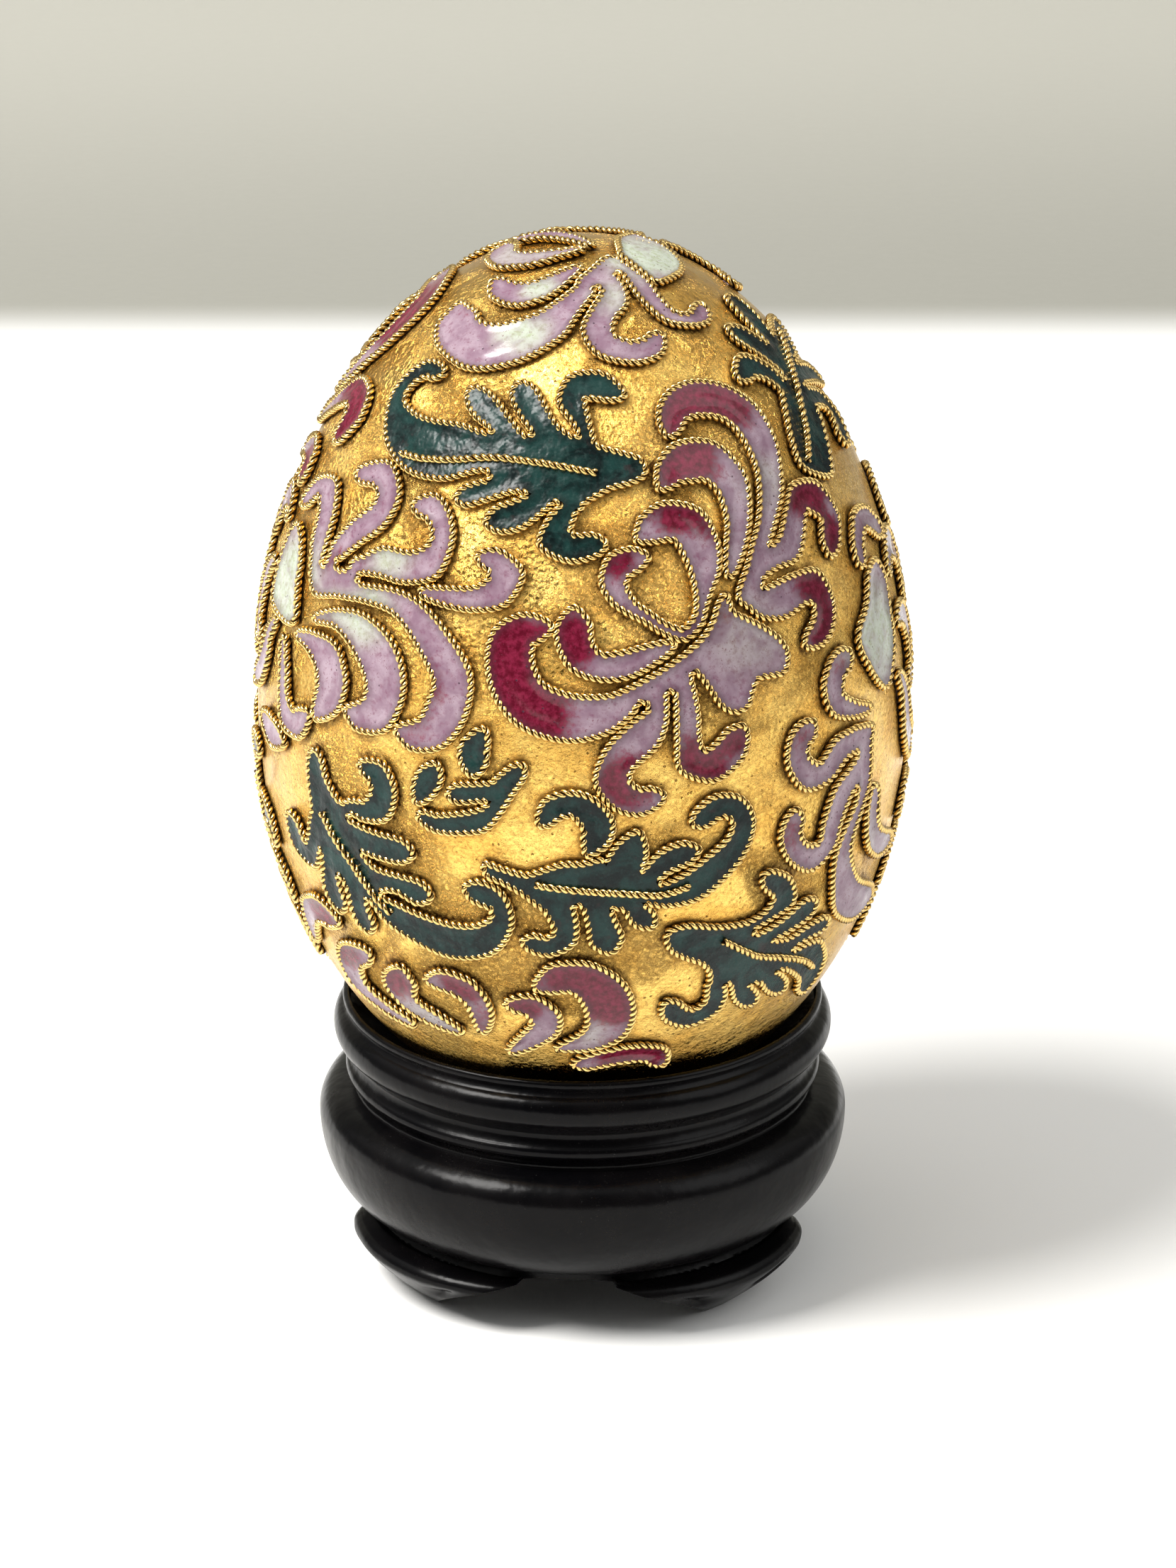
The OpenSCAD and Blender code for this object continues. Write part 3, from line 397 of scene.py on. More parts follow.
def tube(line, closed, guide, radius, sides):
    """Points and faces of a round strand along a line; the guide keeps its rings from turning."""
    ahead = np.roll(line, -1, axis=0) - np.roll(line, 1, axis=0)
    if not closed:
        ahead[0], ahead[-1] = line[1] - line[0], line[-1] - line[-2]
    ahead = unit(ahead)
    side = unit(guide - (guide * ahead).sum(axis=1, keepdims=True) * ahead)
    other = np.cross(ahead, side)
    angle = 2 * math.pi * np.arange(sides) / sides
    radius = radius[:, None, None]
    ring = side[:, None] * np.cos(angle)[None, :, None] + other[:, None] * np.sin(angle)[None, :, None]
    points = (line[:, None] + radius * ring).reshape(-1, 3)
    n = len(line)
    i = np.arange(n if closed else n - 1)[:, None]
    k = np.arange(sides)[None, :]
    j, m = (i + 1) % n, (k + 1) % sides
    faces = np.stack([i * sides + k, i * sides + m, j * sides + m, j * sides + k], axis=2).reshape(-1, 4)
    return points, faces


def wavering(share, rounds, start):
    """A slow wave along a wire, for the unevenness of work done by hand."""
    return np.sin(2 * math.pi * rounds * share + start)


def twisted_wire(build, crest, closed, lift, rng):
    """Two strands twisted round each other, laid on the skin under a crest line; returns their axis."""
    line, length = rounded_line(crest, closed, 1 / RINGS_PER_MM)
    way = read_skin(line)[0]
    normal = skin_normal(way)
    share = np.arange(len(line)) / len(line)
    wave = rng.uniform(0, 2 * math.pi, 4)
    lifted = lift + 0.025 * wavering(share, 3, wave[0]) + 0.015 * wavering(share, 11, wave[1])
    axis = skin(way) + lifted[:, None] * normal
    ahead = unit(np.roll(axis, -1, axis=0) - np.roll(axis, 1, axis=0))
    if not closed:
        ahead[0], ahead[-1] = ahead[1], ahead[-2]
    side = unit(np.cross(ahead, normal))
    turns = max(round(length / TWIST_PITCH), 1)
    slip = 0.5 * wavering(share, 2, wave[2]) + 0.25 * wavering(share, 7, wave[3])
    angle = 2 * math.pi * turns * share + slip * min(turns / 8, 1)
    for half in (0, math.pi):
        arm = normal * np.cos(angle + half)[:, None] + side * np.sin(angle + half)[:, None]
        strand = axis + TWIST_RADIUS * arm
        radius = STRAND_RADIUS * (1 + 0.05 * wavering(share, 5, wave[1] + half))
        if not closed:
            radius[[0, -1]] *= STRAND_TIP
        points, faces = tube(strand, closed, normal, radius, STRAND_SIDES)
        outward = points.reshape(len(line), STRAND_SIDES, 3) - axis[:, None]
        reach = np.linalg.norm(outward, axis=2) / (TWIST_RADIUS + STRAND_RADIUS)
        height = lifted[:, None] + (outward * normal[:, None]).sum(axis=2)
        # Painted shade: the strands darken where they turn in between each other and where they come down
        # close to the ground
        between_strands = np.clip((0.86 - reach) / 0.4, 0, 1)
        near_ground = np.clip((0.26 - height) / 0.26, 0, 1) ** 1.5
        build.add(points, faces, grime=np.clip(between_strands + near_ground, 0, 1).reshape(-1))
        if not closed:
            first = build.count - len(points)
            last = build.count - STRAND_SIDES
            build.faces.append([first + k for k in reversed(range(STRAND_SIDES))])
            build.faces.append([last + k for k in range(STRAND_SIDES)])
    return axis


def make_wires(node, material, rng):
    """The wires of one drawing; returns points along them."""
    build = Build()
    axes = []
    for crest, closed in ridge_lines(node):
        lift = WIRE_LIFT if closed else RIB_LIFT
        axes.append(twisted_wire(build, crest, closed, lift, rng))
    piece = build.piece(node + "_twisted", material, "egg", sharp=80)
    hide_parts(node)
    return np.vstack(axes)


# ==== Enamel ====


def inside(points, ring):
    """Whether flat points lie inside a closed ring."""
    x, y = points[:, :1], points[:, 1:]
    x1, y1 = ring[:, 0][None], ring[:, 1][None]
    x2, y2 = np.roll(ring[:, 0], -1)[None], np.roll(ring[:, 1], -1)[None]
    crossing = (y1 > y) != (y2 > y)
    with np.errstate(divide="ignore", invalid="ignore"):
        at = x1 + (y - y1) * (x2 - x1) / (y2 - y1)
    return (crossing & (x < at)).sum(axis=1) % 2 == 1


def edge_distance(points, ring):
    """Distance of flat points from a ring's corners, which stand close together."""
    tree = KDTree(len(ring))
    for k, corner in enumerate(ring):
        tree.insert((*corner, 0), k)
    tree.balance()
    return np.array([tree.find((*point, 0))[2] for point in points])


def spots(flat, table):
    """Soft spots added up over flat points, from 0 to 1."""
    clear = np.ones(len(flat))
    for u, v, radius, strength in table:
        near = np.clip(1.25 - np.hypot(flat[:, 0] - u, flat[:, 1] - v) / radius, 0, 1)
        clear *= 1 - strength * near * near * (3 - 2 * near)
    return 1 - clear


def enamel_cell(build, chart, motif, loop):
    """One pool of enamel: a glossy skin that climbs a little where it meets the wire, closed underneath."""
    outline = rounded_line(loop, True, ENAMEL_EDGE_STEP)[0]
    ring = chart.flat(read_skin(outline)[0])
    area = 0.5 * (ring[:, 0] * np.roll(ring[:, 1], -1) - ring[:, 1] * np.roll(ring[:, 0], -1)).sum()
    if area < 0:
        ring = ring[::-1]
    ahead = unit(np.roll(ring, -1, axis=0) - np.roll(ring, 1, axis=0))
    ring = ring + ENAMEL_UNDER_WIRE * np.stack([ahead[:, 1], -ahead[:, 0]], axis=1)
    low, high = ring.min(axis=0), ring.max(axis=0)
    # Points in staggered rows fill the outline, which is then meshed in triangles
    rows = np.arange(low[1], high[1], 0.87 * ENAMEL_STEP)
    across = np.arange(low[0], high[0] + ENAMEL_STEP, ENAMEL_STEP)
    stagger = (0, 0.5 * ENAMEL_STEP)
    grid = np.array([[u + stagger[k % 2], v] for k, v in enumerate(rows) for u in across])
    grid = grid[inside(grid, ring)]
    grid = grid[edge_distance(grid, ring) > 0.6 * ENAMEL_STEP]
    corners = [Vector(p) for p in ring] + [Vector(p) for p in grid]
    flat, _, faces, *_ = delaunay_2d_cdt(corners, [], [list(range(len(ring)))], 1, 1e-4)
    flat = np.array(flat)
    u, v = flat.T
    away = edge_distance(flat, ring)
    from_wire = np.maximum(away - ENAMEL_UNDER_WIRE, 0)
    rise = MENISCUS_RISE * np.exp(-((from_wire / MENISCUS_WIDTH) ** 2))
    sway = ENAMEL_SWAY * np.sin(u * 1.9 + 0.7 * np.sin(v * 1.3)) * np.cos(v * 1.6)
    dome = ENAMEL_DOME * np.clip(away / 1.2, 0, 1)
    height = ENAMEL_LEVEL + rise + sway * np.clip(away / 0.5, 0, 1) + dome
    way = chart.way(flat)
    normal = skin_normal(way)
    top = skin(way) + height[:, None] * normal
    under = skin(way) - ENAMEL_DEPTH * normal
    # A dict keeps the edges in order; an edge that no face has the other way round is on the rim
    edges = {(a, b): None for face in faces for a, b in zip(face, face[1:] + face[:1])}
    rim = [(a, b) for a, b in edges if (b, a) not in edges]
    n = len(flat)
    numbers = {
        "blush": spots(flat, BLUSHES.get(motif, [])),
        "cloud": spots(flat, CLOUDS.get(motif, [])),
        "shade": np.exp(-((from_wire / 0.22) ** 2)),
    }
    build.add(np.vstack([top, under]), [], **{title: np.tile(values, 2) for title, values in numbers.items()})
    at = build.count - 2 * n
    for face in faces:
        build.faces.append([at + k for k in face])
        build.faces.append([at + n + k for k in reversed(face)])
    for a, b in rim:
        build.faces.append([at + a, at + n + a, at + n + b, at + b])


def make_enamel(node, materials):
    """The enamel of one drawing: its petals as one piece, and its leaves as another."""
    motif = motif_of(node)
    chart = Chart(turn_of(node))
    loops = edge_lines(node)
    leafy = motif == "leaf" or "sprig" in node
    mixed = motif in ("side_spray", "back_crown")
    longest = max(len(loop) for loop in loops)
    groups = {}
    for loop in loops:
        green = leafy or (mixed and len(loop) == longest)
        groups.setdefault("green" if green else "petal", []).append(loop)
    for kind, members in groups.items():
        build = Build()
        for loop in members:
            enamel_cell(build, chart, motif, loop)
        piece = build.piece(f"{node}_{kind}", materials[kind], "egg", sharp=35)
        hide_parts(node)


# ==== Turned shapes ====


def lathe(rows, segments):
    """Points and faces of a turned ring with a closed outline.

    A row is (radius, height); one of no radius is a single point on the axis.
    """
    angle = 2 * math.pi * np.arange(segments) / segments
    cos, sin = np.cos(angle), np.sin(angle)
    points, starts = [], []
    count = 0
    for radius, height in rows:
        starts.append((count, radius > 0))
        if radius > 0:
            points.append(np.stack([radius * cos, radius * sin, np.full(segments, height)], 1))
        else:
            points.append(np.array([[0.0, 0.0, height]]))
        count += len(points[-1])
    faces = []
    for (at, round_a), (to, round_b) in zip(starts, starts[1:] + starts[:1]):
        for k in range(segments):
            m = (k + 1) % segments
            if round_a and round_b:
                faces.append([at + k, at + m, to + m, to + k])
            elif round_a:
                faces.append([at + k, at + m, to])
            elif round_b:
                faces.append([at, to + m, to + k])
    return np.vstack(points), faces


def egg_rows(start, end, height, row):
    """Rows about `row` apart along the egg's outline, between two polar angles."""
    steps = max(int(abs(end - start) * EGG_MEAN_RADIUS / row), 2)
    polar = np.linspace(start, end, steps + 1)
    way = np.stack([np.sin(polar), 0 * polar, np.cos(polar)], axis=1)
    spot = skin(way) + height * skin_normal(way)
    return [(p[0] if p[0] > ON_AXIS else 0.0, p[2]) for p in spot]


def make_shells(material, wire_points):
    """The two copper halves, with their wall, the vent hole and a painted shadow along the wires."""
    tree = KDTree(len(wire_points))
    for k, point in enumerate(wire_points):
        tree.insert(point, k)
    tree.balance()
    seam = math.acos(SEAM_RISE)
    vent = math.pi - math.asin(VENT_RADIUS / EGG_A / (1 + EGG_TAPER))
    vent_in = math.pi - math.asin(VENT_RADIUS / (EGG_A - COPPER_WALL) / (1 + EGG_TAPER))
    outlines = {
        "shell_upper": (egg_rows(seam, 0, 0, SHELL_ROW)
                        + egg_rows(0, seam, -COPPER_WALL, SHELL_INNER_ROW)),
        "shell_lower": (egg_rows(vent, seam, 0, SHELL_ROW)
                        + egg_rows(seam, vent_in, -COPPER_WALL, SHELL_INNER_ROW)),
    }
    for node, rows in outlines.items():
        points, faces = lathe(rows, SHELL_SEGMENTS)
        away = np.array([tree.find(point)[2] for point in points])
        # Painted shadow: the ground darkens close to the wires, and the inner wall, which is never seen, a
        # little all over
        along_wires = np.clip((SHADE_REACH - away) / SHADE_FADE, 0, 1)
        outer = read_skin(points)[1] > -0.1
        grime = np.where(outer, along_wires, 0.3)
        piece = make_piece(node + "_gilt", points, faces, material, "egg", {"grime": grime}, sharp=50)
        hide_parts(node)


# ==== Stand ====


def arc(middle, radii, start, end, steps):
    """Points of an elliptic arc between two angles in degrees."""
    angle = np.radians(np.linspace(start, end, steps + 1))
    return [(middle[0] + radii[0] * math.cos(a), middle[1] + radii[1] * math.sin(a)) for a in angle]


def dish_rows():
    """The dish that the egg sits in, from its middle to the rim."""
    rim_polar = math.degrees(math.acos((EGG_CENTRE - STAND_HEIGHT + DISH_LIP) / (EGG_B + 1)))
    polar = np.radians(np.linspace(180, 180 - rim_polar, 36))
    way = np.stack([np.sin(polar), 0 * polar, np.cos(polar)], axis=1)
    gap = SEAT_GAP + DISH_GAP * ((np.degrees(polar) - SEAT_POLAR) / DISH_SPREAD) ** 2
    spot = skin(way) + gap[:, None] * skin_normal(way)
    return [(p[0] if p[0] > ON_AXIS else 0.0, p[2]) for p in spot]


def turned_rows():
    """The turned outline from the dish down to the waist above the base."""
    belly_reach, belly_fall = BELLY - WAIST_RADIUS + 0.15, BELLY_LEVEL - WAIST_LEVEL
    rim_edge = arc((RIM - 0.95, STAND_HEIGHT - 0.32), (0.3, 0.32), 110, -40, 8)
    rim_step = [(RIM - 0.86, STAND_HEIGHT - 0.82)]
    rim_bead = arc((RIM - 1.05, STAND_HEIGHT - 2.3), (1.05, 1.25), 72, -72, 22)
    upper_groove = arc((RIM - 0.62, STAND_HEIGHT - 4.3), (0.62, 0.62), 150, 205, 6)
    neck_ridge = arc((RIM - 1.2, STAND_HEIGHT - 5.42), (0.42, 0.5), 68, -75, 10)
    lower_groove = arc((RIM - 0.95, STAND_HEIGHT - 6.5), (0.42, 0.42), 140, 215, 6)
    belly_top = arc((BELLY - 2.25, BELLY_LEVEL), (2.25, 2.0), 78, 0, 18)
    belly_foot = arc((WAIST_RADIUS - 0.15, BELLY_LEVEL), (belly_reach, belly_fall), -4, -84, 30)
    waist = [(WAIST_RADIUS - 0.1, WAIST_LEVEL)]
    return (
        dish_rows() + rim_edge + rim_step + rim_bead + upper_groove + neck_ridge + lower_groove
        + belly_top + belly_foot + waist
    )


def square_reach(angle):
    """How far the rounded square of the base reaches in each direction."""
    inset = BASE_HALF_WIDTH - BASE_CORNER
    c, s = np.abs(np.cos(angle)), np.abs(np.sin(angle))
    flat = BASE_HALF_WIDTH / np.maximum(c, s)
    along = inset * (c + s)
    corner = along + np.sqrt(np.maximum(along**2 - 2 * inset**2 + BASE_CORNER**2, 0))
    return np.where(np.minimum(c, s) * flat > inset, corner, flat)


def arch(x, y):
    """Height of the underside: two vaults that cross between the four feet."""
    half = ARCH_SPAN / 2
    under = [np.maximum(1 - np.abs(t / half) ** ARCH_POWER, 0) for t in (x, y)]
    return ARCH_HEIGHT * np.sqrt(np.maximum(*under))


def smooth_step(t):
    """A rise from 0 to 1 without a corner at either end."""
    t = np.clip(t, 0, 1)
    return t * t * (3 - 2 * t)


def foot_outline(reach, toe):
    """Outline of a foot before the arches cut it: a groove, a ridge, the shelf, the knee and the toe."""
    shelf = [
        (0, WAIST_LEVEL), (0.10, KNEE_LEVEL + 0.65), (0.22, KNEE_LEVEL + 0.20),
        (0.34, KNEE_LEVEL + 0.26), (0.44, KNEE_LEVEL + 0.50), (0.56, KNEE_LEVEL + 0.40),
    ]
    knee_radius, knee_centre = 0.8, KNEE_LEVEL - 0.5
    fall = np.linspace(0, 1, 30)
    line = [(WAIST_RADIUS + (reach - WAIST_RADIUS) * share, level) for share, level in shelf]
    line += arc((reach - knee_radius, knee_centre), (knee_radius, knee_radius), 80, 0, 12)
    line += zip(reach + (toe - reach) * fall**1.25, knee_centre * (1 - fall))
    return np.array(line)


def base_column(turn, reach):
    """One column of the carved base: out over the foot, down its face and in underneath."""
    cos, sin = math.cos(turn), math.sin(turn)
    from_side = abs((math.degrees(turn) + 45) % 90 - 45)
    from_corner = abs(math.degrees(turn) % 90 - 45)
    least = WAIST_RADIUS + SHELF_LEAST
    knee = least + (reach - least) * smooth_step((from_side - SHELF_FADE_START) / SHELF_FADE)
    line = foot_outline(knee, TOE_RADIUS)
    along = np.concatenate([[0], np.cumsum(np.hypot(*np.diff(line, axis=0).T))])
    fine = np.linspace(0, along[-1], OUTLINE_SAMPLES)
    radius, height = (np.interp(fine, along, line[:, k]) for k in (0, 1))
    past = np.nonzero(height < arch(radius * cos, radius * sin))[0]
    end = fine[past[0]] if len(past) else fine[-1]
    there = end * np.linspace(0, 1, FACE_ROWS) ** 0.9
    radius, height = np.interp(there, fine, radius), np.interp(there, fine, height)
    middle = HOLLOW_LEVEL + HOLLOW_SLOPE * (from_corner - HOLLOW_ANGLE)
    sideways = ((from_corner - HOLLOW_ANGLE) / HOLLOW_SPREAD) ** 2
    hollow = np.exp(-sideways - ((height - middle) / HOLLOW_HALF_HEIGHT) ** 2)
    radius = radius - HOLLOW_DEPTH * hollow * np.clip((end - there) / HOLLOW_FADE, 0, 1)
    inner = radius[-1] * np.linspace(1, 0.03, UNDERSIDE_ROWS)[1:]
    roof = arch(inner * cos, inner * sin)
    return np.stack([np.append(radius, inner), np.append(height, roof)])


def base_rows(angle):
    """Rings of the carved base, from the waist out over the feet, down their face and in underneath."""
    columns = [base_column(turn, reach) for turn, reach in zip(angle, square_reach(angle))]
    return [(ring[:, 0], ring[:, 1]) for ring in np.stack(columns).transpose(2, 0, 1)]


def make_stand(material):
    """The whole stand as one closed skin, from the middle of the dish to the middle of the underside."""
    n = STAND_SEGMENTS
    angle = 2 * math.pi * np.arange(n) / n
    cos, sin = np.cos(angle + STAND_TURN), np.sin(angle + STAND_TURN)
    rows = turned_rows()
    rings = [(np.full(n, radius), np.full(n, height)) for radius, height in rows[1:]]
    rings += base_rows(angle)
    points = [np.array([[0, 0, rows[0][1]]])]
    points += [np.stack([r * cos, r * sin, z], axis=1) for r, z in rings]
    points.append(np.array([[0, 0, ARCH_HEIGHT]]))
    faces = [[0, 1 + k, 1 + (k + 1) % n] for k in range(n)]
    for i in range(len(rings) - 1):
        at, to = 1 + i * n, 1 + (i + 1) * n
        faces += [[at + k, to + k, to + (k + 1) % n, at + (k + 1) % n] for k in range(n)]
    end = 1 + len(rings) * n
    faces += [[end, end - n + (k + 1) % n, end - n + k] for k in range(n)]
    piece = make_piece("stand_carved", np.vstack(points), faces, material, "stand", {}, sharp=42)
    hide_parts("stand")


# ==== Materials ====


class Shader:
    """A material's nodes, with short calls for the ones used here. Coordinates are in millimetres."""

    # The Mix node has sockets of one name for numbers, vectors and colours; these are the colours'
    MIX_A, MIX_B, MIX_RESULT = 6, 7, 2

    def __init__(self, name, **settings):
        self.material = bpy.data.materials.new(name)
        self.material.use_nodes = True
        self.tree = self.material.node_tree
        self.base = self.tree.nodes["Principled BSDF"]
        for socket, value in settings.items():
            self.base.inputs[socket.replace("_", " ")].default_value = value
        place = self.node("ShaderNodeTexCoord")
        scale = self.node("ShaderNodeVectorMath", operation="SCALE")
        scale.inputs["Scale"].default_value = 1 / MM
        self.link(place.outputs["Object"], scale.inputs[0])
        self.place = scale.outputs[0]

    def node(self, kind, **settings):
        made = self.tree.nodes.new(kind)
        for name, value in settings.items():
            setattr(made, name, value)
        return made

    def link(self, source, target):
        """Links a socket to another, or sets a number or a colour on the target itself."""
        if isinstance(source, (int, float)):
            target.default_value = source
        elif isinstance(source, tuple):
            target.default_value = (*source, 1)
        else:
            self.tree.links.new(source, target)

    def noise(self, scale, detail=3, roughness=0.55, warp=0.0):
        made = self.node("ShaderNodeTexNoise")
        made.inputs["Scale"].default_value = scale
        made.inputs["Detail"].default_value = detail
        made.inputs["Roughness"].default_value = roughness
        made.inputs["Distortion"].default_value = warp
        self.link(self.place, made.inputs["Vector"])
        return made.outputs["Fac"]

    def cells(self, scale):
        """Distance from the nearest of many scattered spots."""
        made = self.node("ShaderNodeTexVoronoi", feature="F1")
        made.inputs["Scale"].default_value = scale
        self.link(self.place, made.inputs["Vector"])
        return made.outputs["Distance"]

    def number(self, name):
        """A number that the piece has for each of its points."""
        return self.node("ShaderNodeAttribute", attribute_name=name).outputs["Fac"]

    def spread(self, value, low, high, to_low=0.0, to_high=1.0):
        """Smoothly maps a stretch of a value to another stretch."""
        made = self.node("ShaderNodeMapRange", interpolation_type="SMOOTHSTEP")
        made.inputs["From Min"].default_value = low
        made.inputs["From Max"].default_value = high
        made.inputs["To Min"].default_value = to_low
        made.inputs["To Max"].default_value = to_high
        self.link(value, made.inputs["Value"])
        return made.outputs["Result"]

    def math(self, operation, a, b, clamp=False):
        made = self.node("ShaderNodeMath", operation=operation, use_clamp=clamp)
        self.link(a, made.inputs[0])
        self.link(b, made.inputs[1])
        return made.outputs[0]

    def mix(self, share, a, b):
        made = self.node("ShaderNodeMix", data_type="RGBA")
        self.link(share, made.inputs["Factor"])
        self.link(a, made.inputs[self.MIX_A])
        self.link(b, made.inputs[self.MIX_B])
        return made.outputs[self.MIX_RESULT]

    def bump(self, height, strength, distance, under=None):
        made = self.node("ShaderNodeBump")
        made.inputs["Strength"].default_value = strength
        made.inputs["Distance"].default_value = distance * MM
        self.link(height, made.inputs["Height"])
        if under is not None:
            self.link(under, made.inputs["Normal"])
        return made.outputs["Normal"]

    def finish(self, colour, roughness, normal=None):
        self.link(colour, self.base.inputs["Base Color"])
        self.link(roughness, self.base.inputs["Roughness"])
        if normal is not None:
            self.link(normal, self.base.inputs["Normal"])
        return self.material


def gilt_ground():
    """Gilt copper: yellow gold with wear, grainy in patches, with brown painted shadow along the wires."""
    s = Shader("gilt_ground", Metallic=1.0)
    patch = s.spread(s.noise(0.13, 2, 0.5, 0.6), 0.44, 0.60)
    grain = s.noise(3.0, 5, 0.74, 0.9)
    fleck = s.noise(9, 2, 0.6)
    pits = s.spread(s.cells(1.6), 0.05, 0.16, 1, 0)
    patchy = s.spread(s.noise(1.4, 3, 0.6, 0.4), 0.25, 0.62, 0.35, 1.15)
    # The painted shadow along the wires, made patchy
    patchy_shade = s.math("MULTIPLY", s.number("grime"), patchy)
    rough_dirt = s.math("MULTIPLY", s.spread(grain, 0.40, 0.58, 1, 0), patch)
    gold = s.mix(s.spread(s.noise(0.35, 3, 0.6), 0.3, 0.7), (0.97, 0.64, 0.17), (0.84, 0.48, 0.10))
    gold = s.mix(s.spread(fleck, 0.45, 0.72, 0, 0.6), gold, (0.46, 0.25, 0.06))
    crevice = s.math("MULTIPLY", s.spread(grain, 0.34, 0.50, 1, 0), 0.4)
    # Real brown wear in rough patches, grain hollows and pits, together with the painted shadow along the
    # wires
    wear_and_shade = s.math("ADD", s.math("MULTIPLY", patchy_shade, 0.85), s.math("MULTIPLY", rough_dirt, 0.6), clamp=True)
    wear_and_shade = s.math("MAXIMUM", wear_and_shade, crevice)
    wear_and_shade = s.math("MAXIMUM", wear_and_shade, s.math("MULTIPLY", pits, 0.5))
    colour = s.mix(wear_and_shade, gold, (0.10, 0.045, 0.012))
    relief = s.math("ADD", s.math("MULTIPLY", grain, s.spread(patch, 0, 1, 0.35, 1.3)),
                    s.math("MULTIPLY", pits, -0.5))
    normal = s.bump(relief, 0.8, 0.24, s.bump(s.noise(0.9, 2, 0.5), 0.35, 0.35))
    return s.finish(colour, s.spread(wear_and_shade, 0, 1, 0.19, 0.50), normal)


def gilt_wire():
    """Twisted gilt wire: polished on its crests, with dark brown painted shade between the strands and where
    they come close to the ground.
    """
    s = Shader("gilt_wire", Metallic=1.0)
    tone = s.mix(s.noise(0.7, 3, 0.6), (0.96, 0.71, 0.28), (0.70, 0.42, 0.12))
    patchy = s.spread(s.noise(2.2, 3, 0.6), 0.2, 0.55, 0.75, 1.5)
    # Painted shade between the strands and near the ground, made patchy
    patchy_shade = s.math("MULTIPLY", s.number("grime"), patchy, clamp=True)
    colour = s.mix(patchy_shade, tone, (0.035, 0.014, 0.004))
    normal = s.bump(s.noise(9, 3, 0.6), 0.25, 0.05)
    return s.finish(colour, s.spread(patchy_shade, 0, 1, 0.16, 0.6), normal)


def petal_enamel():
    """Cloudy lilac enamel with crimson blushes, pale greenish clouds and dark specks."""
    s = Shader("petal_enamel", Specular_IOR_Level=0.35)
    cloudy = s.noise(0.55, 4, 0.6, 0.5)
    fine = s.noise(2.4, 4, 0.65)
    lilac = s.mix(s.spread(cloudy, 0.3, 0.7), (0.22, 0.13, 0.18), (0.36, 0.27, 0.32))
    lilac = s.mix(s.spread(fine, 0.48, 0.74, 0, 0.65), lilac, (0.17, 0.055, 0.10))
    ragged = s.math("ADD", s.number("blush"), s.math("MULTIPLY", s.math("SUBTRACT", cloudy, 0.5), 0.9))
    ragged = s.math("ADD", ragged, s.math("MULTIPLY", s.math("SUBTRACT", fine, 0.5), 0.5))
    blush = s.spread(ragged, 0.12, 0.72)
    wine = s.mix(s.spread(fine, 0.35, 0.7), (0.085, 0.004, 0.013), (0.20, 0.014, 0.042))
    colour = s.mix(s.math("MULTIPLY", blush, s.spread(s.number("blush"), 0.02, 0.2)), lilac, wine)
    pale = s.math("MULTIPLY", s.number("cloud"), s.spread(cloudy, 0.25, 0.6, 0.45, 1.15), clamp=True)
    milk = s.mix(s.spread(fine, 0.4, 0.7), (0.46, 0.50, 0.42), (0.34, 0.38, 0.25))
    colour = s.mix(pale, colour, milk)
    speckled = s.spread(s.noise(0.9, 2), 0.46, 0.56)
    speck = s.math("MULTIPLY", s.spread(s.cells(1.7), 0.07, 0.15, 1, 0), speckled)
    pepper = s.math("MULTIPLY", s.spread(s.noise(6.5, 2, 0.6), 0.60, 0.72), s.spread(cloudy, 0.35, 0.6))
    colour = s.mix(s.math("MULTIPLY", pepper, 0.7), colour, (0.14, 0.03, 0.05))
    colour = s.mix(s.math("MULTIPLY", speck, 0.8), colour, (0.04, 0.015, 0.03))
    colour = s.mix(s.math("MULTIPLY", s.number("shade"), 0.55), colour, (0.06, 0.03, 0.04))
    normal = s.bump(s.noise(1.3, 2, 0.5), 0.12, 0.12, s.bump(speck, 0.4, -0.05))
    return s.finish(colour, s.spread(fine, 0.3, 0.7, 0.09, 0.2), normal)


def green_enamel():
    """Deep green enamel, nearly black in patches, with teal clouds."""
    s = Shader("green_enamel", Specular_IOR_Level=0.2)
    cloudy = s.noise(0.5, 4, 0.62, 0.6)
    fine = s.noise(3.0, 4, 0.65)
    green = s.mix(s.spread(cloudy, 0.38, 0.62), (0.004, 0.009, 0.009), (0.011, 0.038, 0.034))
    green = s.mix(s.spread(fine, 0.5, 0.75, 0, 0.5), green, (0.028, 0.062, 0.056))
    green = s.mix(s.spread(s.noise(0.9, 3, 0.6), 0.60, 0.72, 0, 0.6), green, (0.03, 0.02, 0.02))
    colour = s.mix(s.math("MULTIPLY", s.number("shade"), 0.6), green, (0.008, 0.008, 0.007))
    normal = s.bump(s.noise(1.2, 2, 0.5), 0.4, 0.3)
    return s.finish(colour, s.spread(fine, 0.3, 0.7, 0.18, 0.34), normal)


def lacquer():
    """Black lacquer over turned wood: satin, slightly uneven, with patches of fine dust."""
    s = Shader("black_lacquer", Specular_IOR_Level=0.11)
    cloud = s.noise(0.16, 3, 0.6)
    fine = s.noise(2.8, 4, 0.7)
    dusty = s.spread(s.noise(0.3, 2, 0.6), 0.45, 0.65)
    dust = s.math("MULTIPLY", s.spread(s.noise(9, 2, 0.6), 0.66, 0.8), dusty)
    colour = s.mix(s.spread(cloud, 0.3, 0.7), (0.0012, 0.0012, 0.0016), (0.0035, 0.003, 0.0032))
    colour = s.mix(s.math("MULTIPLY", dust, 0.5), colour, (0.10, 0.095, 0.09))
    rough = s.math("ADD", s.spread(cloud, 0.3, 0.7, 0.16, 0.25), s.math("MULTIPLY", fine, 0.08))
    relief = s.math("ADD", s.noise(0.28, 3, 0.5), s.math("MULTIPLY", fine, 0.05))
    return s.finish(colour, rough, s.bump(relief, 0.30, 0.5))


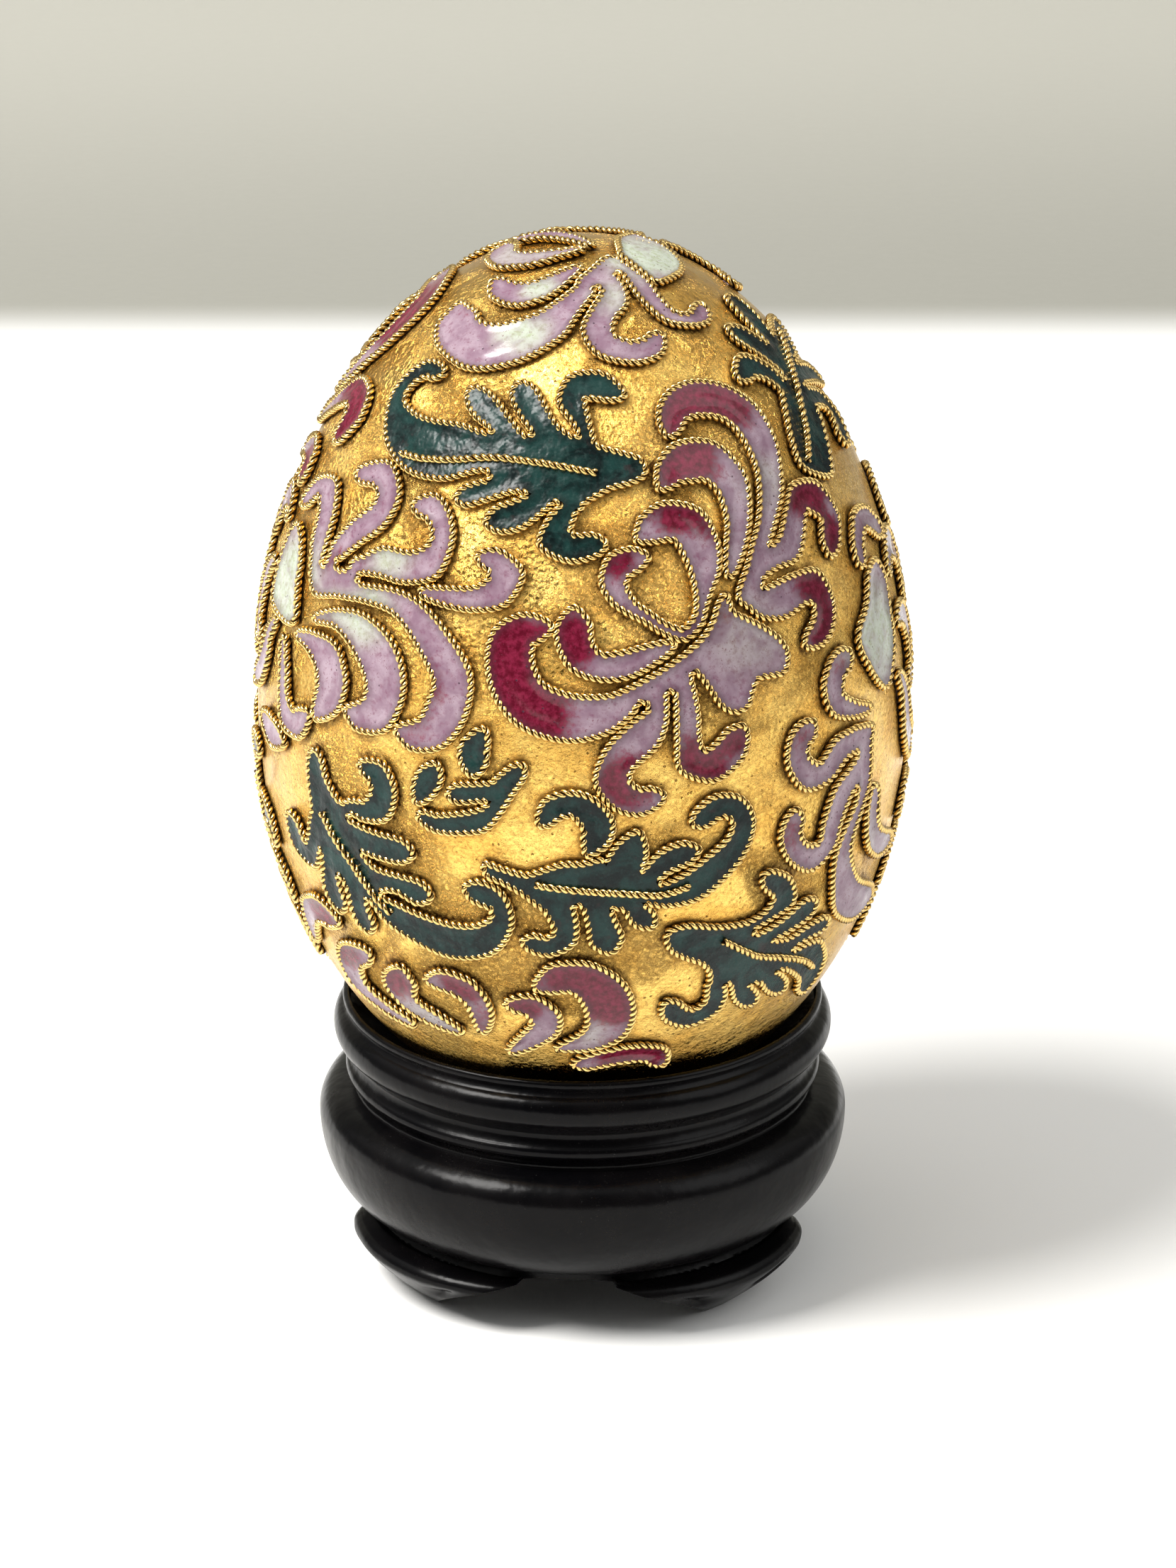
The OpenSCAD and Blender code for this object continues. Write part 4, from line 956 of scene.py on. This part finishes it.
def floor_paper():
    """A white table top that turns to a grey ground behind the stand."""
    s = Shader("floor_paper", Specular_IOR_Level=0.2)
    split = s.node("ShaderNodeSeparateXYZ")
    s.link(s.place, split.inputs[0])
    white = s.mix(s.noise(0.02, 2, 0.5), (0.95, 0.95, 0.94), (0.98, 0.98, 0.97))
    grey = s.mix(s.spread(split.outputs["Y"], *GREY_GRADIENT), (0.37, 0.365, 0.325), (0.63, 0.62, 0.555))
    colour = s.mix(s.spread(split.outputs["Y"], *TABLE_EDGE), white, grey)
    return s.finish(colour, s.spread(s.noise(0.6, 2), 0.3, 0.7, 0.7, 0.8))


# ==== Room, light and camera ====


def make_floor(material):
    """A pale sweep: flat under the stand and curving up far behind it."""
    line = [(FLOOR_FRONT, 0), (FLOOR_BACK, 0)]
    line += arc((FLOOR_BACK, SWEEP_RADIUS), (SWEEP_RADIUS, SWEEP_RADIUS), -84, 0, 14)
    line.append((FLOOR_BACK + SWEEP_RADIUS, SWEEP_TOP))
    points = [(x, y, z) for y, z in line for x in (-FLOOR_HALF_WIDTH, FLOOR_HALF_WIDTH)]
    faces = [[2 * k, 2 * k + 1, 2 * k + 3, 2 * k + 2] for k in range(len(line) - 1)]
    mesh = bpy.data.meshes.new("sweep")
    mesh.from_pydata([Vector(p) * MM for p in points], [], faces)
    mesh.shade_smooth()
    mesh.materials.append(material)
    sweep = bpy.data.objects.new("sweep", mesh)
    bpy.context.scene.collection.objects.link(sweep)


def area_light(name, place, size, power, colour=(1, 1, 1)):
    """A round light that looks at the egg, in metres and watts."""
    light = bpy.data.lights.new(name, "AREA")
    light.shape = "DISK"
    light.size = size
    light.energy = power
    light.color = colour
    lamp = bpy.data.objects.new(name, light)
    lamp.location = place
    lamp.rotation_euler = (Vector((0, 0, AIM_HEIGHT)) - Vector(place)).to_track_quat("-Z", "Y").to_euler()
    bpy.context.scene.collection.objects.link(lamp)


def make_light():
    """A pale room all round, with a window on the left and a weak fill on the right."""
    world = bpy.data.worlds.new("room")
    world.use_nodes = True
    nodes, links = world.node_tree.nodes, world.node_tree.links
    place = nodes.new("ShaderNodeTexCoord")
    split = nodes.new("ShaderNodeSeparateXYZ")
    ramp = nodes.new("ShaderNodeValToRGB")
    links.new(place.outputs["Generated"], split.inputs[0])
    links.new(split.outputs["Z"], ramp.inputs["Fac"])
    links.new(ramp.outputs["Color"], nodes["Background"].inputs["Color"])
    steps = [(0.0, 0.35), (0.22, 0.22), (0.55, 0.85), (1.0, 1.0)]
    while len(ramp.color_ramp.elements) < len(steps):
        ramp.color_ramp.elements.new(0.5)
    for element, (position, level) in zip(ramp.color_ramp.elements, steps):
        element.position = position
        element.color = (level, level, level * 0.98, 1)
    # A dim patch of the room in front of the egg, which the gold mirrors as bronze
    front = nodes.new("ShaderNodeVectorMath")
    front.operation = "DOT_PRODUCT"
    front.inputs[1].default_value = Vector((0.02, -0.94, 0.34)).normalized()
    dim = nodes.new("ShaderNodeMapRange")
    dim.interpolation_type = "SMOOTHSTEP"
    dim.inputs["From Min"].default_value = 0.66
    dim.inputs["From Max"].default_value = 0.93
    dim.inputs["To Min"].default_value = 0.85
    dim.inputs["To Max"].default_value = 0.10
    links.new(place.outputs["Generated"], front.inputs[0])
    links.new(front.outputs["Value"], dim.inputs["Value"])
    links.new(dim.outputs["Result"], nodes["Background"].inputs["Strength"])
    bpy.context.scene.world = world
    area_light("window", (-0.35, -0.16, 0.55), 0.30, 6.4, (1.0, 0.98, 0.95))
    area_light("fill", (0.50, -0.20, 0.45), 0.50, 0.9)


def make_camera():
    camera = bpy.data.cameras.new("camera")
    camera.lens = CAMERA_LENS
    camera.sensor_width = CAMERA_SENSOR
    camera.sensor_fit = "HORIZONTAL"
    holder = bpy.data.objects.new("camera", camera)
    holder.location = CAMERA_PLACE
    holder.rotation_euler = (CAMERA_TILT, 0, 0)
    bpy.context.scene.collection.objects.link(holder)
    bpy.context.scene.camera = holder


# ==== The model ====

make_camera()
make_light()
make_floor(floor_paper())

rng = np.random.default_rng(7)
wire_gold = gilt_wire()
enamels = {"petal": petal_enamel(), "green": green_enamel()}
wire_nodes = sorted(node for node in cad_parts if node.endswith("_wires"))
wire_points = np.vstack([make_wires(node, wire_gold, rng) for node in wire_nodes])
for node in sorted(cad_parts):
    if node.endswith("_enamel"):
        make_enamel(node, enamels)
# Every third point along the wires is enough to find where the painted shadow along them falls
make_shells(gilt_ground(), wire_points[::3])
make_stand(lacquer())

bpy.context.scene.view_settings.view_transform = "Standard"
